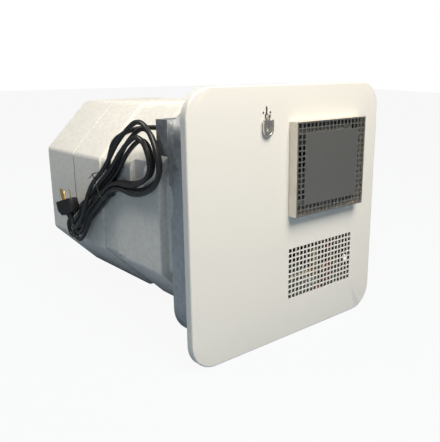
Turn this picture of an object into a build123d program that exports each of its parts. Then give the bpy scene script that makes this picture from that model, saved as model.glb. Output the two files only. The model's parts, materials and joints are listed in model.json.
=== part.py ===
from build123d import *
import math
import os

os.makedirs("parts", exist_ok=True)

# A gas and electric storage water heater for a caravan, in millimetres.
# X runs to the right as seen from outside, Y runs inwards from the wall, Z is up.
# The origin is the middle of the wall cut-out, on the outer face of the wall.

# Body behind the wall
body_size = 324.0
foam_end = 477.0
body_bevel = 85.0
flat_half = body_size / 2 - body_bevel
gap = 0.3
overrun = 5.0
seam_gap = 0.05
turning_gap = 0.06

# Galvanised pan behind the door
casing_sheet = 1.0
casing_end = 67.0
casing_lip = 10.0
casing_corner = 44.0
panel_face = casing_end - casing_lip - casing_sheet
panel_back = panel_face + casing_sheet

# Frame that is screwed to the wall
flange_overlap = 12.0
flange_size = body_size + 2 * flange_overlap
flange_sheet = 1.0
flange_corner = 30.0
flange_screw_hole = 4.5
flange_screw_reach = (body_size + flange_size) / 4
flange_screw_spread = 120.0

# Outer door
door_margin = 13.5
door_size = flange_size + 2 * door_margin
door_corner = 40.0
door_depth = 11.0
door_sheet = 1.0
door_bend = 2.5
door_rise = 5.0
door_bottom = door_rise - door_size / 2
door_inside = -door_depth + door_sheet

# Air intake punched through the door
intake_pitch = 8.0
intake_hole = 6.0
intake_columns = 18
intake_rows = 10
intake_x = 62.7
intake_z = -82.6

# Exhaust cage that stands proud of the door
cage_width = 149.0
cage_height = 134.0
cage_stand = 15.5
cage_sheet = 0.8
cage_lip = 6.0
cage_x = 63.4
cage_z = 74.4
cage_pitch_x = 8.1
cage_pitch_z = 7.75
cage_hole = 6.0
cage_columns = 18
cage_rows = 17
cage_border = 2

# Door latch
latch_x = -55.0
latch_drop = 10.3
latch_z = body_size / 2 - latch_drop
stem_radius = 2.5
stem_collar_radius = 4.5
stem_collar = 1.4
stem_tail = 12.0
tongue_thickness = 2.4
latch_pin_radius = 0.9
latch_reach = 3.4
keyhole_radius = 3.7
keyhole_slot = 3.0
keyhole_height = 12.6
keyhole_drop = 9.5
flap_width = 18.0
flap_top_drop = 5.7
flap_height = 21.3
flap_thickness = 1.5
flap_rim = 0.7
flap_rim_width = 1.8
flap_finger_radius = 4.1
flap_cheek_radius = 2.3
flap_cheek = 1.3
flap_ear = 1.6
latch_bracket_sheet = 1.5
latch_bracket_width = 30.0
latch_bracket_face = 12.0
latch_bracket_foot = 22.0
stiffener_width = 24.0
stiffener_height = 32.0
stiffener_sheet = 1.2
stiffener_rivet_radius = 1.0
stiffener_rivet_spread = 12.8
stiffener_rivet_rise = 4.8
stiffener_rivet_head = 0.5

# Hinge along the door's bottom edge
hinge_spread = 110.0
hinge_pin_radius = 1.25
knuckle_radius = 2.2
knuckle_length = 14.0
hinge_ear = 1.6
hinge_side_gap = 0.3
hinge_y = -5.0
hinge_z = door_bottom + door_sheet + gap + knuckle_radius
hinge_leaf = 1.2
hinge_leaf_height = 16.0
hinge_plate_height = 9.0
swing_cut = 2.0

# Water tank
tank_radius = 134.0
tank_sheet = 2.0
tank_front = 66.0
tank_end = 455.0
head_rise = 20.0
head_knuckle = 14.0
spud_wall = 3.5
foam_gap = 0.6

# Flue that passes twice through the tank
flue_radius = 28.0
flue_wall = 1.5
flue_x = 68.0
flue_low = -68.0
flue_high = 70.0
flue_reach = 300.0

# Exhaust duct between the flue and the cage
duct_width = 118.0
duct_height = 104.0
duct_sheet = 0.8
duct_front = -5.0
gasket_width = 7.0


def upright(depth):
    """An upright plane at a depth behind the wall's face: x to the right, y up, facing out."""
    return Plane.XZ.offset(-depth)


def octagon(half, leg):
    """The corners of a bevelled square, anticlockwise from the right of the bottom edge."""
    near = half - leg
    return [
        (near, -half),
        (half, -near),
        (half, near),
        (near, half),
        (-near, half),
        (-half, near),
        (-half, -near),
        (-near, -half),
    ]


def finish(builder, label):
    """Labels a finished piece and writes it under its own name."""
    builder.part.label = label
    export_step(builder.part, f"parts/{label}.step")
    solids = builder.part.solids()
    print(label, len(solids), "solids", round(sum(s.volume for s in solids) / 1000, 1), "cm3")


# Moulded foam halves: four octagonal stretches one behind the other
neck_inset = 12.0
neck_front = panel_back + gap
block_front = 95.0
band_front = 224.0
band_end = 269.0
band_inset = 4.0
foam_edge = 12.0
foam_rim = 3.0
mould_groove_y = 364.0
mould_groove_width = 5.0
mould_groove_depth = 2.5
pocket_front = 131.0
pocket_length = 40.0
pocket_low = 46.0
pocket_height = 42.0
pocket_depth = 9.0
pocket_round = 8.0
notch_front = 200.0
notch_length = 20.0
notch_depth = 4.0
port_well_radius = 25.0

# Water connections at the back of the tank
port_x = -40.0
port_rise = 92.0
port_radius = 10.48
port_bore = 7.5
port_end = 487.0
port_hex = 15.0
port_hex_length = 9.0
port_seat = tank_end + 2.0


def foam_half(label, keep):
    """One half of the moulded jacket, split level with the tank's axis."""
    stretches = [
        (neck_front, block_front, neck_inset),
        (block_front, band_front, 0),
        (band_front, band_end, band_inset),
        (band_end, foam_end, 0),
    ]
    with BuildPart() as half:
        for start, end, inset in stretches:
            with BuildPart(mode=Mode.PRIVATE) as stretch:
                with BuildSketch(upright(start)) as outline:
                    half_size = body_size / 2 - inset
                    Polygon(*octagon(half_size, body_bevel * half_size * 2 / body_size), align=None)
                    fillet(outline.vertices(), foam_edge)
                extrude(amount=start - end)
                if inset == 0:
                    rims = stretch.faces().filter_by(Axis.Y).edges()
                    fillet(rims, foam_rim)
            add(stretch.part)
        with BuildSketch(upright(mould_groove_y)) as groove:
            Polygon(*octagon(body_size / 2 + overrun, body_bevel), align=None)
            inner = body_size / 2 - mould_groove_depth
            Polygon(*octagon(inner, body_bevel * inner * 2 / body_size), align=None, mode=Mode.SUBTRACT)
        extrude(amount=-mould_groove_width, mode=Mode.SUBTRACT)
        for side in (-1, 1):
            with BuildSketch(Plane.YZ.offset(side * (body_size / 2 - pocket_depth))):
                with Locations((pocket_front + pocket_length / 2, pocket_low + pocket_height / 2)):
                    RectangleRounded(pocket_length, pocket_height, pocket_round)
            extrude(amount=side * (pocket_depth + overrun), mode=Mode.SUBTRACT)
            with BuildSketch(Plane.YZ.offset(side * (body_size / 2 - notch_depth))):
                with Locations((notch_front + notch_length / 2, -flat_half)):
                    RectangleRounded(notch_length, notch_length / 2, notch_depth)
            extrude(amount=side * (notch_depth + overrun), mode=Mode.SUBTRACT)
        with BuildSketch(upright(neck_front - overrun)):
            Circle(tank_radius + foam_gap)
        extrude(amount=neck_front - overrun - tank_end - foam_gap, mode=Mode.SUBTRACT)
        with BuildSketch(upright(foam_end + overrun)):
            with Locations((port_x, port_rise), (port_x, -port_rise)):
                Circle(port_well_radius)
        extrude(amount=foam_end + overrun - tank_end, mode=Mode.SUBTRACT)
        split(bisect_by=Plane.XY, keep=keep)
    finish(half, label)


foam_half("foam_upper", Keep.TOP)
foam_half("foam_lower", Keep.BOTTOM)

# Places on the front head of the tank
panel_hole_gap = 1.0
anode_x = 14.0
anode_z = -114.0
anode_thread = 10.0
anode_hex = 14.5
anode_head = 10.0
anode_rod_radius = 8.5
anode_rod_length = 230.0
relief_x = -35.0
relief_z = 92.0
relief_thread = 9.0
element_x = -84.0
element_z = -58.0
element_thread = 16.0
spuds = [
    (anode_x, anode_z, anode_thread, anode_thread + panel_hole_gap),
    (relief_x, relief_z, relief_thread, relief_thread + panel_hole_gap),
    (element_x, element_z, element_thread, element_thread + spud_wall + panel_hole_gap),
]


def tank_form(inset):
    """The tank's drum with its two dished heads, drawn in all round by an inset."""
    radius = tank_radius - inset
    front = tank_front + inset
    end = tank_end - inset
    crown_radius = radius - head_knuckle * 2
    with BuildPart(mode=Mode.PRIVATE) as form:
        with BuildSketch(Plane.XY):
            with BuildLine():
                crown = Line((0, front), (crown_radius, front + head_knuckle / 2))
                shoulder = TangentArc(crown @ 1, (radius, front + head_rise), tangent=crown % 1)
                side = Line(shoulder @ 1, (radius, end - head_rise))
                rear_crown = Line((0, end), (crown_radius, end - head_knuckle / 2))
                TangentArc(rear_crown @ 1, side @ 1, tangent=rear_crown % 1)
                Line((0, end), (0, front))
            make_face()
        revolve(axis=Axis.Y)
    return form.part


with BuildPart() as tank:
    add(tank_form(0))
    spud_root = tank_front + head_knuckle
    for x, z, radius, opening in spuds:
        with BuildSketch(upright(spud_root)):
            with Locations((x, z)):
                Circle(radius + spud_wall)
        extrude(amount=spud_root - panel_back - gap)
    with BuildSketch(upright(port_seat)):
        with Locations((port_x, port_rise), (port_x, -port_rise)):
            Circle(port_radius + spud_wall)
    extrude(amount=port_seat - tank_end + head_rise)
    add(tank_form(tank_sheet), mode=Mode.SUBTRACT)
    with BuildSketch(upright(panel_face)):
        for x, z, radius, opening in spuds:
            with Locations((x, z)):
                Circle(radius)
        with Locations((flue_x, flue_low), (flue_x, flue_high)):
            Circle(flue_radius + turning_gap)
    extrude(amount=panel_face - spud_root - overrun, mode=Mode.SUBTRACT)
    with BuildSketch(upright(port_end)):
        with Locations((port_x, port_rise), (port_x, -port_rise)):
            Circle(port_radius)
    extrude(amount=port_end - tank_end + head_rise + overrun, mode=Mode.SUBTRACT)
finish(tank, "water_tank")

# The flue goes in low, turns round in one bend and comes out high
with BuildPart() as flue:
    bend = (flue_high - flue_low) / 2
    with BuildLine() as flue_path:
        lower_run = Line((flue_x, panel_face - flue_wall, flue_low), (flue_x, flue_reach, flue_low))
        turn = ThreePointArc(
            lower_run @ 1,
            (flue_x, flue_reach + bend, (flue_high + flue_low) / 2),
            (flue_x, flue_reach, flue_high),
        )
        Line(turn @ 1, (flue_x, panel_face - flue_wall, flue_high))
    with BuildSketch(Plane(origin=flue_path.line @ 0, x_dir=(1, 0, 0), z_dir=(0, 1, 0))):
        Circle(flue_radius)
        Circle(flue_radius - flue_wall, mode=Mode.SUBTRACT)
    sweep()
finish(flue, "flue_tube")

# Galvanised casing: a rounded wrapper whose front edge passes through the wall frame,
# with an inset panel that carries the burner parts.
casing_inner = body_size - 2 * casing_sheet
scallop_low = 16.0
scallop_length = 46.0
scallop_depth = 8.0
thermostat_z = 30.0
thermostat_x = -40.0
thermostat_spread = 28.0
thermostat_cup_radius = 7.0
thermostat_places = [
    (thermostat_x - thermostat_spread / 2, thermostat_z),
    (thermostat_x + thermostat_spread / 2, thermostat_z),
]
screw_radius = 1.9
screw_head_radius = 3.6
screw_head = 2.2
valve_screw_reach = 19.0
valve_screw_z = -106.0
plate_screw_reach = 35.2
switch_screw_x = -115.0
switch_screw_low = -100.0
switch_screw_high = -70.0
valve_x = -33.0
screw_places = [
    (valve_x - valve_screw_reach, valve_screw_z),
    (valve_x + valve_screw_reach, valve_screw_z),
    (thermostat_x - plate_screw_reach, thermostat_z),
    (thermostat_x + plate_screw_reach, thermostat_z),
    (switch_screw_x, switch_screw_low),
    (switch_screw_x, switch_screw_high),
]
box_width = 33.0
box_height = 49.0
box_length = 27.0
box_low = 100.0
box_sheet = 1.0
box_left = -body_size / 2
box_x = box_left + box_width / 2
box_z = box_low + box_height / 2
box_front = casing_end
box_back = box_front + box_length
tab_slot_radius = 5.0
gas_x = casing_inner / 2
gas_y = 20.0
gas_z = -100.0
grommet_radius = 10.0
grommet_flange = 14.0
grommet_sheet = 1.6

# Its wrapper is cut at thin seams, so that collision hulls of the pieces keep the bay open
seam_reach = body_size / 2 - casing_corner

with BuildPart() as casing:
    with BuildSketch(upright(-flange_sheet)):
        RectangleRounded(body_size, body_size, casing_corner)
        RectangleRounded(casing_inner, casing_inner, casing_corner - casing_sheet, mode=Mode.SUBTRACT)
    extrude(amount=-casing_end - flange_sheet)
    with BuildSketch(Plane.YZ.offset(-body_size / 2 - overrun)):
        with Locations((casing_end, scallop_low + scallop_length / 2)):
            Ellipse(scallop_depth, scallop_length / 2)
    extrude(amount=overrun + box_width / 4, mode=Mode.SUBTRACT)
    with BuildSketch(Plane.YZ.offset(gas_x - overrun)):
        with Locations((gas_y, gas_z)):
            Circle(grommet_radius)
    extrude(amount=overrun * 2, mode=Mode.SUBTRACT)
    with BuildSketch(upright(-flange_sheet - overrun)):
        with Locations((-seam_reach, 0), (seam_reach, 0)):
            Rectangle(seam_gap, body_size + overrun)
        with Locations((0, -seam_reach), (0, seam_reach)):
            Rectangle(body_size + overrun, seam_gap)
    extrude(amount=-casing_end - flange_sheet - 2 * overrun, mode=Mode.SUBTRACT)
finish(casing, "galvanised_casing")

with BuildPart() as burner_panel:
    with BuildSketch(upright(panel_face)):
        RectangleRounded(casing_inner, casing_inner, casing_corner - casing_sheet)
        with Locations((flue_x, flue_low), (flue_x, flue_high)):
            Circle(flue_radius + panel_hole_gap, mode=Mode.SUBTRACT)
        for x, z, radius, opening in spuds:
            with Locations((x, z)):
                Circle(opening, mode=Mode.SUBTRACT)
        with Locations(*thermostat_places):
            Circle(thermostat_cup_radius + panel_hole_gap, mode=Mode.SUBTRACT)
        with Locations(*screw_places):
            Circle(screw_radius, mode=Mode.SUBTRACT)
        with Locations((box_x, box_z - box_height / 4)):
            Circle(tab_slot_radius, mode=Mode.SUBTRACT)
    extrude(amount=-casing_sheet)
finish(burner_panel, "burner_panel")

# Wall frame, welded round the mouth of the casing
with BuildPart() as wall_frame:
    with BuildSketch(upright(0)):
        RectangleRounded(flange_size, flange_size, flange_corner)
        RectangleRounded(body_size, body_size, casing_corner, mode=Mode.SUBTRACT)
        with GridLocations(flange_screw_reach * 2, flange_screw_spread * 2, 2, 2):
            Circle(flange_screw_hole / 2, mode=Mode.SUBTRACT)
        with GridLocations(flange_screw_spread * 2, flange_screw_reach * 2, 2, 2):
            Circle(flange_screw_hole / 2, mode=Mode.SUBTRACT)
    extrude(amount=flange_sheet)
finish(wall_frame, "wall_frame")

# Outer door: a shallow pressed tray with square punched holes
keyhole_centre = (latch_x, latch_z)


def keyhole(mode):
    """The round hole with a slot above and below it and the two rivet holes beside it."""
    with Locations(keyhole_centre):
        Circle(keyhole_radius, mode=mode)
    with Locations((latch_x, latch_z + (keyhole_height - keyhole_drop) / 2)):
        Rectangle(keyhole_slot, keyhole_height + keyhole_drop, mode=mode)
    with Locations(
        (latch_x - stiffener_rivet_spread / 2, latch_z + stiffener_rivet_rise),
        (latch_x + stiffener_rivet_spread / 2, latch_z + stiffener_rivet_rise),
    ):
        Circle(stiffener_rivet_radius, mode=mode)


with BuildPart() as door:
    with BuildSketch(upright(0)):
        with Locations((0, door_rise)):
            RectangleRounded(door_size, door_size, door_corner)
    extrude(amount=door_depth)
    fillet(door.faces().sort_by(Axis.Y)[0].edges(), door_bend)
    inner_size = door_size - 2 * door_sheet
    with BuildPart(mode=Mode.PRIVATE) as tray_space:
        with BuildSketch(upright(overrun)):
            with Locations((0, door_rise)):
                RectangleRounded(inner_size, inner_size, door_corner - door_sheet)
        extrude(amount=overrun - door_inside)
        fillet(tray_space.faces().sort_by(Axis.Y)[0].edges(), door_bend - door_sheet)
    add(tray_space.part, mode=Mode.SUBTRACT)
    with BuildSketch(upright(0)):
        with Locations((intake_x, intake_z)):
            with GridLocations(intake_pitch, intake_pitch, intake_columns, intake_rows):
                Rectangle(intake_hole, intake_hole)
        with Locations((cage_x, cage_z)):
            Rectangle(cage_width + gap, cage_height + gap)
    extrude(amount=door_depth + overrun, mode=Mode.SUBTRACT)
    with BuildSketch(upright(0)):
        keyhole(Mode.ADD)
    extrude(amount=door_depth + overrun, mode=Mode.SUBTRACT)
    # The bottom lip is cut back to clear the wall, and notched for the hinge brackets
    with BuildSketch(upright(-swing_cut)):
        with Locations((0, hinge_z - knuckle_radius)):
            Rectangle(door_size, 2 * knuckle_radius)
    extrude(amount=-overrun, mode=Mode.SUBTRACT)
    with BuildSketch(upright(door_inside + door_bend)):
        with Locations((-hinge_spread, door_bottom), (hinge_spread, door_bottom)):
            Rectangle(knuckle_length + 2 * (hinge_side_gap + hinge_ear + door_sheet), 2 * door_bend)
    extrude(amount=-door_depth, mode=Mode.SUBTRACT)
finish(door, "access_door")

# Stiffener behind the keyhole, and its two rivets
with BuildPart() as stiffener:
    with BuildSketch(upright(door_inside)):
        with Locations(keyhole_centre):
            RectangleRounded(stiffener_width, stiffener_height, stiffener_rivet_rise)
        keyhole(Mode.SUBTRACT)
    extrude(amount=-stiffener_sheet)
finish(stiffener, "keyhole_stiffener")

with BuildPart() as stiffener_rivets:
    head_radius = stiffener_rivet_radius + stiffener_rivet_head
    for side in (-1, 1):
        rivet_centre = (latch_x + side * stiffener_rivet_spread / 2, latch_z + stiffener_rivet_rise)
        with BuildSketch(upright(-door_depth)):
            with Locations(rivet_centre):
                Circle(head_radius)
        extrude(amount=stiffener_rivet_head)
        with BuildSketch(upright(-door_depth)):
            with Locations(rivet_centre):
                Circle(stiffener_rivet_radius)
        extrude(amount=-(door_sheet + stiffener_sheet))
        with BuildSketch(upright(door_inside + stiffener_sheet)):
            with Locations(rivet_centre):
                Circle(head_radius)
        extrude(amount=-stiffener_rivet_head)
finish(stiffener_rivets, "stiffener_rivets")

# Exhaust cage: a folded box with two rows of square holes round a plain middle.
# Its front and its four walls meet at thin seams, so that their hulls leave the box open.
with BuildPart() as cage:
    cage_front = -door_depth - cage_stand
    with BuildSketch(upright(door_inside)):
        with Locations((cage_x, cage_z)):
            Rectangle(cage_width, cage_height)
            Rectangle(cage_width - 2 * cage_sheet, cage_height - 2 * cage_sheet, mode=Mode.SUBTRACT)
    extrude(amount=door_inside - cage_front)
    with BuildSketch(upright(cage_front + cage_sheet)):
        with Locations((cage_x, cage_z)):
            Rectangle(cage_width, cage_height)
            for ring in range(cage_border):
                across = (cage_columns - 1 - 2 * ring) * cage_pitch_x
                upwards = (cage_rows - 1 - 2 * ring) * cage_pitch_z
                with GridLocations(cage_pitch_x, upwards, cage_columns - 2 * ring, 2):
                    Rectangle(cage_hole, cage_hole, mode=Mode.SUBTRACT)
                with GridLocations(across, cage_pitch_z, 2, cage_rows - 2 - 2 * ring):
                    Rectangle(cage_hole, cage_hole, mode=Mode.SUBTRACT)
    extrude(amount=cage_sheet)
    with BuildSketch(upright(door_inside)):
        with Locations((cage_x, cage_z)):
            Rectangle(cage_width + 2 * cage_lip, cage_height + 2 * cage_lip)
            Rectangle(cage_width - 2 * cage_sheet, cage_height - 2 * cage_sheet, mode=Mode.SUBTRACT)
    extrude(amount=-cage_sheet)
    with BuildSketch(upright(cage_front + cage_sheet + seam_gap)):
        with Locations((cage_x, cage_z)):
            Rectangle(cage_width + overrun, cage_height + overrun)
    extrude(amount=seam_gap, mode=Mode.SUBTRACT)
    with BuildSketch(upright(cage_front + cage_sheet)):
        with Locations((cage_x, cage_z)):
            with GridLocations(cage_width - 2 * cage_sheet - seam_gap, 0, 2, 1):
                Rectangle(seam_gap, cage_height + 2 * cage_lip + overrun)
    extrude(amount=cage_front - door_inside - overrun, mode=Mode.SUBTRACT)
finish(cage, "exhaust_cage")

# Door hinges: knuckles on the door, brackets and pins on the wall frame
hinge_places = (-hinge_spread, hinge_spread)

with BuildPart() as knuckles:
    for x in hinge_places:
        with BuildSketch(Plane.YZ.offset(x - knuckle_length / 2)):
            with Locations((hinge_y, hinge_z)):
                Circle(knuckle_radius)
            with Locations(((hinge_y + door_inside) / 2, hinge_z + knuckle_radius - hinge_leaf / 2)):
                Rectangle(hinge_y - door_inside, hinge_leaf)
            with Locations((door_inside + hinge_leaf / 2, hinge_z + hinge_leaf_height / 2)):
                Rectangle(hinge_leaf, hinge_leaf_height)
            with Locations((hinge_y, hinge_z)):
                Circle(hinge_pin_radius + turning_gap, mode=Mode.SUBTRACT)
        extrude(amount=knuckle_length)
finish(knuckles, "door_hinge_knuckles")

with BuildPart() as brackets:
    ear_reach = knuckle_length / 2 + hinge_side_gap
    for x in hinge_places:
        with BuildSketch(upright(-flange_sheet)):
            with Locations((x, -flange_size / 2 + hinge_plate_height / 2)):
                Rectangle(2 * (ear_reach + hinge_ear), hinge_plate_height)
        extrude(amount=hinge_leaf)
        for side in (-1, 1):
            inner = x + side * ear_reach
            with BuildSketch(Plane.YZ.offset(inner)):
                with Locations((hinge_y, hinge_z)):
                    Circle(knuckle_radius - gap)
                with BuildLine():
                    Polyline(
                        (-flange_sheet, -flange_size / 2 + hinge_plate_height),
                        (hinge_y - hinge_pin_radius, -flange_size / 2 + hinge_leaf),
                        (hinge_y - knuckle_radius + gap, hinge_z),
                        (-flange_sheet, hinge_z),
                        close=True,
                    )
                make_face()
                with Locations((hinge_y, hinge_z)):
                    Circle(hinge_pin_radius, mode=Mode.SUBTRACT)
            extrude(amount=side * hinge_ear)
finish(brackets, "hinge_brackets")

with BuildPart() as hinge_pins:
    for x in hinge_places:
        reach = knuckle_length / 2 + hinge_side_gap + hinge_ear
        with BuildSketch(Plane.YZ.offset(x - reach)):
            with Locations((hinge_y, hinge_z)):
                Circle(hinge_pin_radius)
        extrude(amount=2 * reach)
finish(hinge_pins, "hinge_pins")

# Latch: a bracket in the pan carries a stem that passes through the keyhole
pivot_y = -door_depth - latch_reach
stem_front = pivot_y + flap_cheek_radius + gap
bracket_back = latch_bracket_face + latch_bracket_sheet
casing_top = casing_inner / 2
stem_edge_gap = 0.1
clip_thickness = 0.8
clip_radius = 5.0
clip_back = bracket_back + stem_edge_gap + clip_thickness

with BuildPart() as latch_bracket:
    with BuildSketch(Plane.YZ.offset(latch_x - latch_bracket_width / 2)):
        with BuildLine():
            Polyline(
                (latch_bracket_face, latch_z - latch_bracket_width / 3),
                (latch_bracket_face, casing_top),
                (bracket_back + latch_bracket_foot, casing_top),
                (bracket_back + latch_bracket_foot, casing_top - latch_bracket_sheet),
                (bracket_back, casing_top - latch_bracket_sheet),
                (bracket_back, latch_z - latch_bracket_width / 3),
                close=True,
            )
        make_face()
    extrude(amount=latch_bracket_width)
    with BuildSketch(upright(bracket_back)):
        with Locations(keyhole_centre):
            Circle(stem_radius + turning_gap)
    extrude(amount=latch_bracket_sheet, mode=Mode.SUBTRACT)
finish(latch_bracket, "latch_bracket")

with BuildPart() as stem:
    with BuildSketch(upright(clip_back + stem_tail)):
        with Locations(keyhole_centre):
            Circle(stem_radius)
    extrude(amount=clip_back + stem_tail - stem_front)
    with BuildSketch(upright(latch_bracket_face - stem_edge_gap)):
        with Locations(keyhole_centre):
            Circle(stem_collar_radius)
    extrude(amount=stem_collar)
    with BuildSketch(upright(clip_back)):
        with Locations(keyhole_centre):
            Circle(stem_radius)
            Circle(stem_radius - clip_thickness, mode=Mode.SUBTRACT)
    extrude(amount=clip_thickness, mode=Mode.SUBTRACT)
    with BuildSketch(Plane.YZ.offset(latch_x - tongue_thickness / 2)):
        with Locations((pivot_y, latch_z)):
            Circle(flap_cheek_radius)
        with Locations(((pivot_y + stem_front) / 2, latch_z)):
            Rectangle(stem_front - pivot_y, 2 * flap_cheek_radius)
        with Locations((pivot_y, latch_z)):
            Circle(latch_pin_radius, mode=Mode.SUBTRACT)
    extrude(amount=tongue_thickness)
finish(stem, "latch_stem")

with BuildPart() as clip:
    with BuildSketch(upright(clip_back)):
        with Locations(keyhole_centre):
            Circle(clip_radius)
            Circle(stem_radius - clip_thickness, mode=Mode.SUBTRACT)
        with Locations((latch_x, latch_z - clip_radius)):
            Rectangle(stem_radius, clip_radius * 2 - clip_thickness, mode=Mode.SUBTRACT)
    extrude(amount=clip_thickness)
finish(clip, "latch_clip")

cheek_inner = tongue_thickness / 2 + stem_edge_gap
neck_width = 2 * (cheek_inner + flap_cheek)

with BuildPart() as latch_pin:
    with BuildSketch(Plane.YZ.offset(latch_x - neck_width / 2)):
        with Locations((pivot_y, latch_z)):
            Circle(latch_pin_radius)
    extrude(amount=neck_width)
finish(latch_pin, "latch_pin")

with BuildPart() as flap:
    flap_top = latch_z - flap_top_drop
    flap_curve = flap_width / 2
    straight = flap_height - flap_curve
    flap_face = pivot_y + flap_thickness / 2
    for side in (-1, 1):
        with BuildSketch(Plane.YZ.offset(latch_x + side * cheek_inner)):
            with Locations((pivot_y, latch_z)):
                Circle(flap_cheek_radius)
            with Locations((pivot_y, (latch_z + flap_top) / 2)):
                Rectangle(flap_thickness, latch_z - flap_top)
            with Locations((pivot_y, latch_z)):
                Circle(latch_pin_radius + turning_gap, mode=Mode.SUBTRACT)
        extrude(amount=side * flap_cheek)
    with BuildSketch(upright(flap_face)):
        with Locations((latch_x, flap_top - straight / 2)):
            Rectangle(flap_width, straight)
        with Locations((latch_x, flap_top - straight)):
            Circle(flap_curve)
        with Locations((latch_x, flap_top + gap)):
            Rectangle(neck_width, flap_top_drop - flap_cheek_radius - 2 * gap)
        ear_reach = flap_curve - flap_ear / 2
        with Locations((latch_x - ear_reach, flap_top), (latch_x + ear_reach, flap_top)):
            Rectangle(flap_ear, flap_ear)
        with Locations((latch_x, flap_top - straight + flap_ear)):
            Circle(flap_finger_radius, mode=Mode.SUBTRACT)
    extrude(amount=flap_thickness)
    with BuildSketch(upright(flap_face - flap_thickness)):
        with Locations((latch_x, flap_top - straight / 2)):
            Rectangle(flap_width, straight)
        with Locations((latch_x, flap_top - straight)):
            Circle(flap_curve)
            Circle(flap_curve - flap_rim_width, mode=Mode.SUBTRACT)
        with Locations((latch_x, flap_top - straight / 2)):
            Rectangle(flap_width - 2 * flap_rim_width, straight, mode=Mode.SUBTRACT)
    extrude(amount=flap_rim)
finish(flap, "latch_flap")

# Exhaust duct and the fibre gasket between it and the cage
gasket_front = door_inside + cage_sheet + gap

with BuildPart() as duct:
    with BuildSketch(upright(duct_front)):
        with Locations((cage_x, cage_z)):
            Rectangle(duct_width, duct_height)
    extrude(amount=duct_front - panel_face)
    with BuildSketch(upright(duct_front - overrun)):
        with Locations((cage_x, cage_z)):
            Rectangle(duct_width - 2 * duct_sheet, duct_height - 2 * duct_sheet)
    extrude(amount=duct_front - overrun - panel_face + duct_sheet, mode=Mode.SUBTRACT)
    with BuildSketch(upright(panel_face + overrun)):
        with Locations((flue_x, flue_high)):
            Circle(flue_radius + panel_hole_gap)
    extrude(amount=overrun * 2, mode=Mode.SUBTRACT)
finish(duct, "exhaust_duct")

with BuildPart() as gasket:
    with BuildSketch(upright(duct_front)):
        with Locations((cage_x, cage_z)):
            Rectangle(duct_width + gasket_width / 2, duct_height + gasket_width / 2)
            Rectangle(duct_width - gasket_width, duct_height - gasket_width, mode=Mode.SUBTRACT)
    extrude(amount=duct_front - gasket_front)
finish(gasket, "exhaust_gasket")

# Burner: the tube reaches into the lower leg of the flue
burner_radius = 12.0
burner_wall = 1.0
burner_mouth = 24.0
burner_end = 170.0
bell_radius = 15.0
bell_length = 7.0
shutter_sheet = 1.0
shutter_start = 33.0
shutter_length = 12.0
shutter_window = 8.0
shutter_tab = 6.0
manifold_radius = 4.5
manifold_y = 10.0
manifold_z = -100.0
post_radius = 6.0
post_top = flue_low + 9.0
nozzle_radius = 3.5
nozzle_end = burner_mouth + 2.0
boss_radius = 6.5
boss_length = 7.0
bracket_sheet = 1.2
bracket_x = flue_x + bell_radius + gap + bracket_sheet
bracket_front = 8.0
electrode_rise = 18.5
ceramic_radius = 3.0
ceramic_front = 18.0
ceramic_end = 58.0
electrode_radius = 1.0
electrode_end = 130.0
collar_y = 50.0
bracket_foot = 16.0
bracket_tab = 10.0

with BuildPart() as burner:
    with BuildSketch(Plane(origin=(flue_x, 0, flue_low), x_dir=(1, 0, 0), z_dir=(0, 0, 1))):
        with BuildLine():
            Polyline(
                (bell_radius - burner_wall, burner_mouth),
                (bell_radius, burner_mouth),
                (burner_radius, burner_mouth + bell_length),
                (burner_radius, burner_end),
                (burner_radius - burner_wall, burner_end),
                (burner_radius - burner_wall, burner_mouth + bell_length),
                close=True,
            )
        make_face()
    revolve(axis=Axis((flue_x, 0, flue_low), (0, 1, 0)))
    with BuildSketch(Plane.YZ.offset(flue_x - burner_radius - overrun)):
        with Locations((shutter_start + shutter_length / 2, flue_low)):
            SlotOverall(shutter_window, shutter_window / 2)
    extrude(amount=2 * (burner_radius + overrun), mode=Mode.SUBTRACT)
finish(burner, "burner_tube")

with BuildPart() as shutter:
    with BuildSketch(upright(shutter_start)):
        with Locations((flue_x, flue_low)):
            Circle(burner_radius + turning_gap + shutter_sheet)
            Circle(burner_radius + turning_gap, mode=Mode.SUBTRACT)
    extrude(amount=-shutter_length)
    with BuildSketch(Plane.YZ.offset(flue_x - burner_radius - overrun)):
        with Locations((shutter_start + shutter_length / 2, flue_low)):
            SlotOverall(shutter_window, shutter_window / 2)
    extrude(amount=2 * (burner_radius + overrun), mode=Mode.SUBTRACT)
    with BuildSketch(upright(shutter_start + shutter_length)):
        with Locations((flue_x, flue_low - burner_radius - shutter_tab / 2)):
            Rectangle(shutter_sheet, shutter_tab)
    extrude(amount=shutter_length)
finish(shutter, "air_shutter")

with BuildPart() as orifice:
    with BuildSketch(Plane.XY.offset(manifold_z - boss_radius)):
        with Locations((flue_x, manifold_y)):
            Circle(post_radius)
    extrude(amount=post_top - manifold_z + boss_radius)
    with BuildSketch(Plane.YZ.offset(flue_x - post_radius - boss_length)):
        with Locations((manifold_y, manifold_z)):
            RegularPolygon(boss_radius, 6)
    extrude(amount=post_radius + boss_length)
    with BuildSketch(upright(nozzle_end)):
        with Locations((flue_x, flue_low)):
            Circle(nozzle_radius)
    extrude(amount=nozzle_end - manifold_y)
finish(orifice, "orifice_holder")

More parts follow.
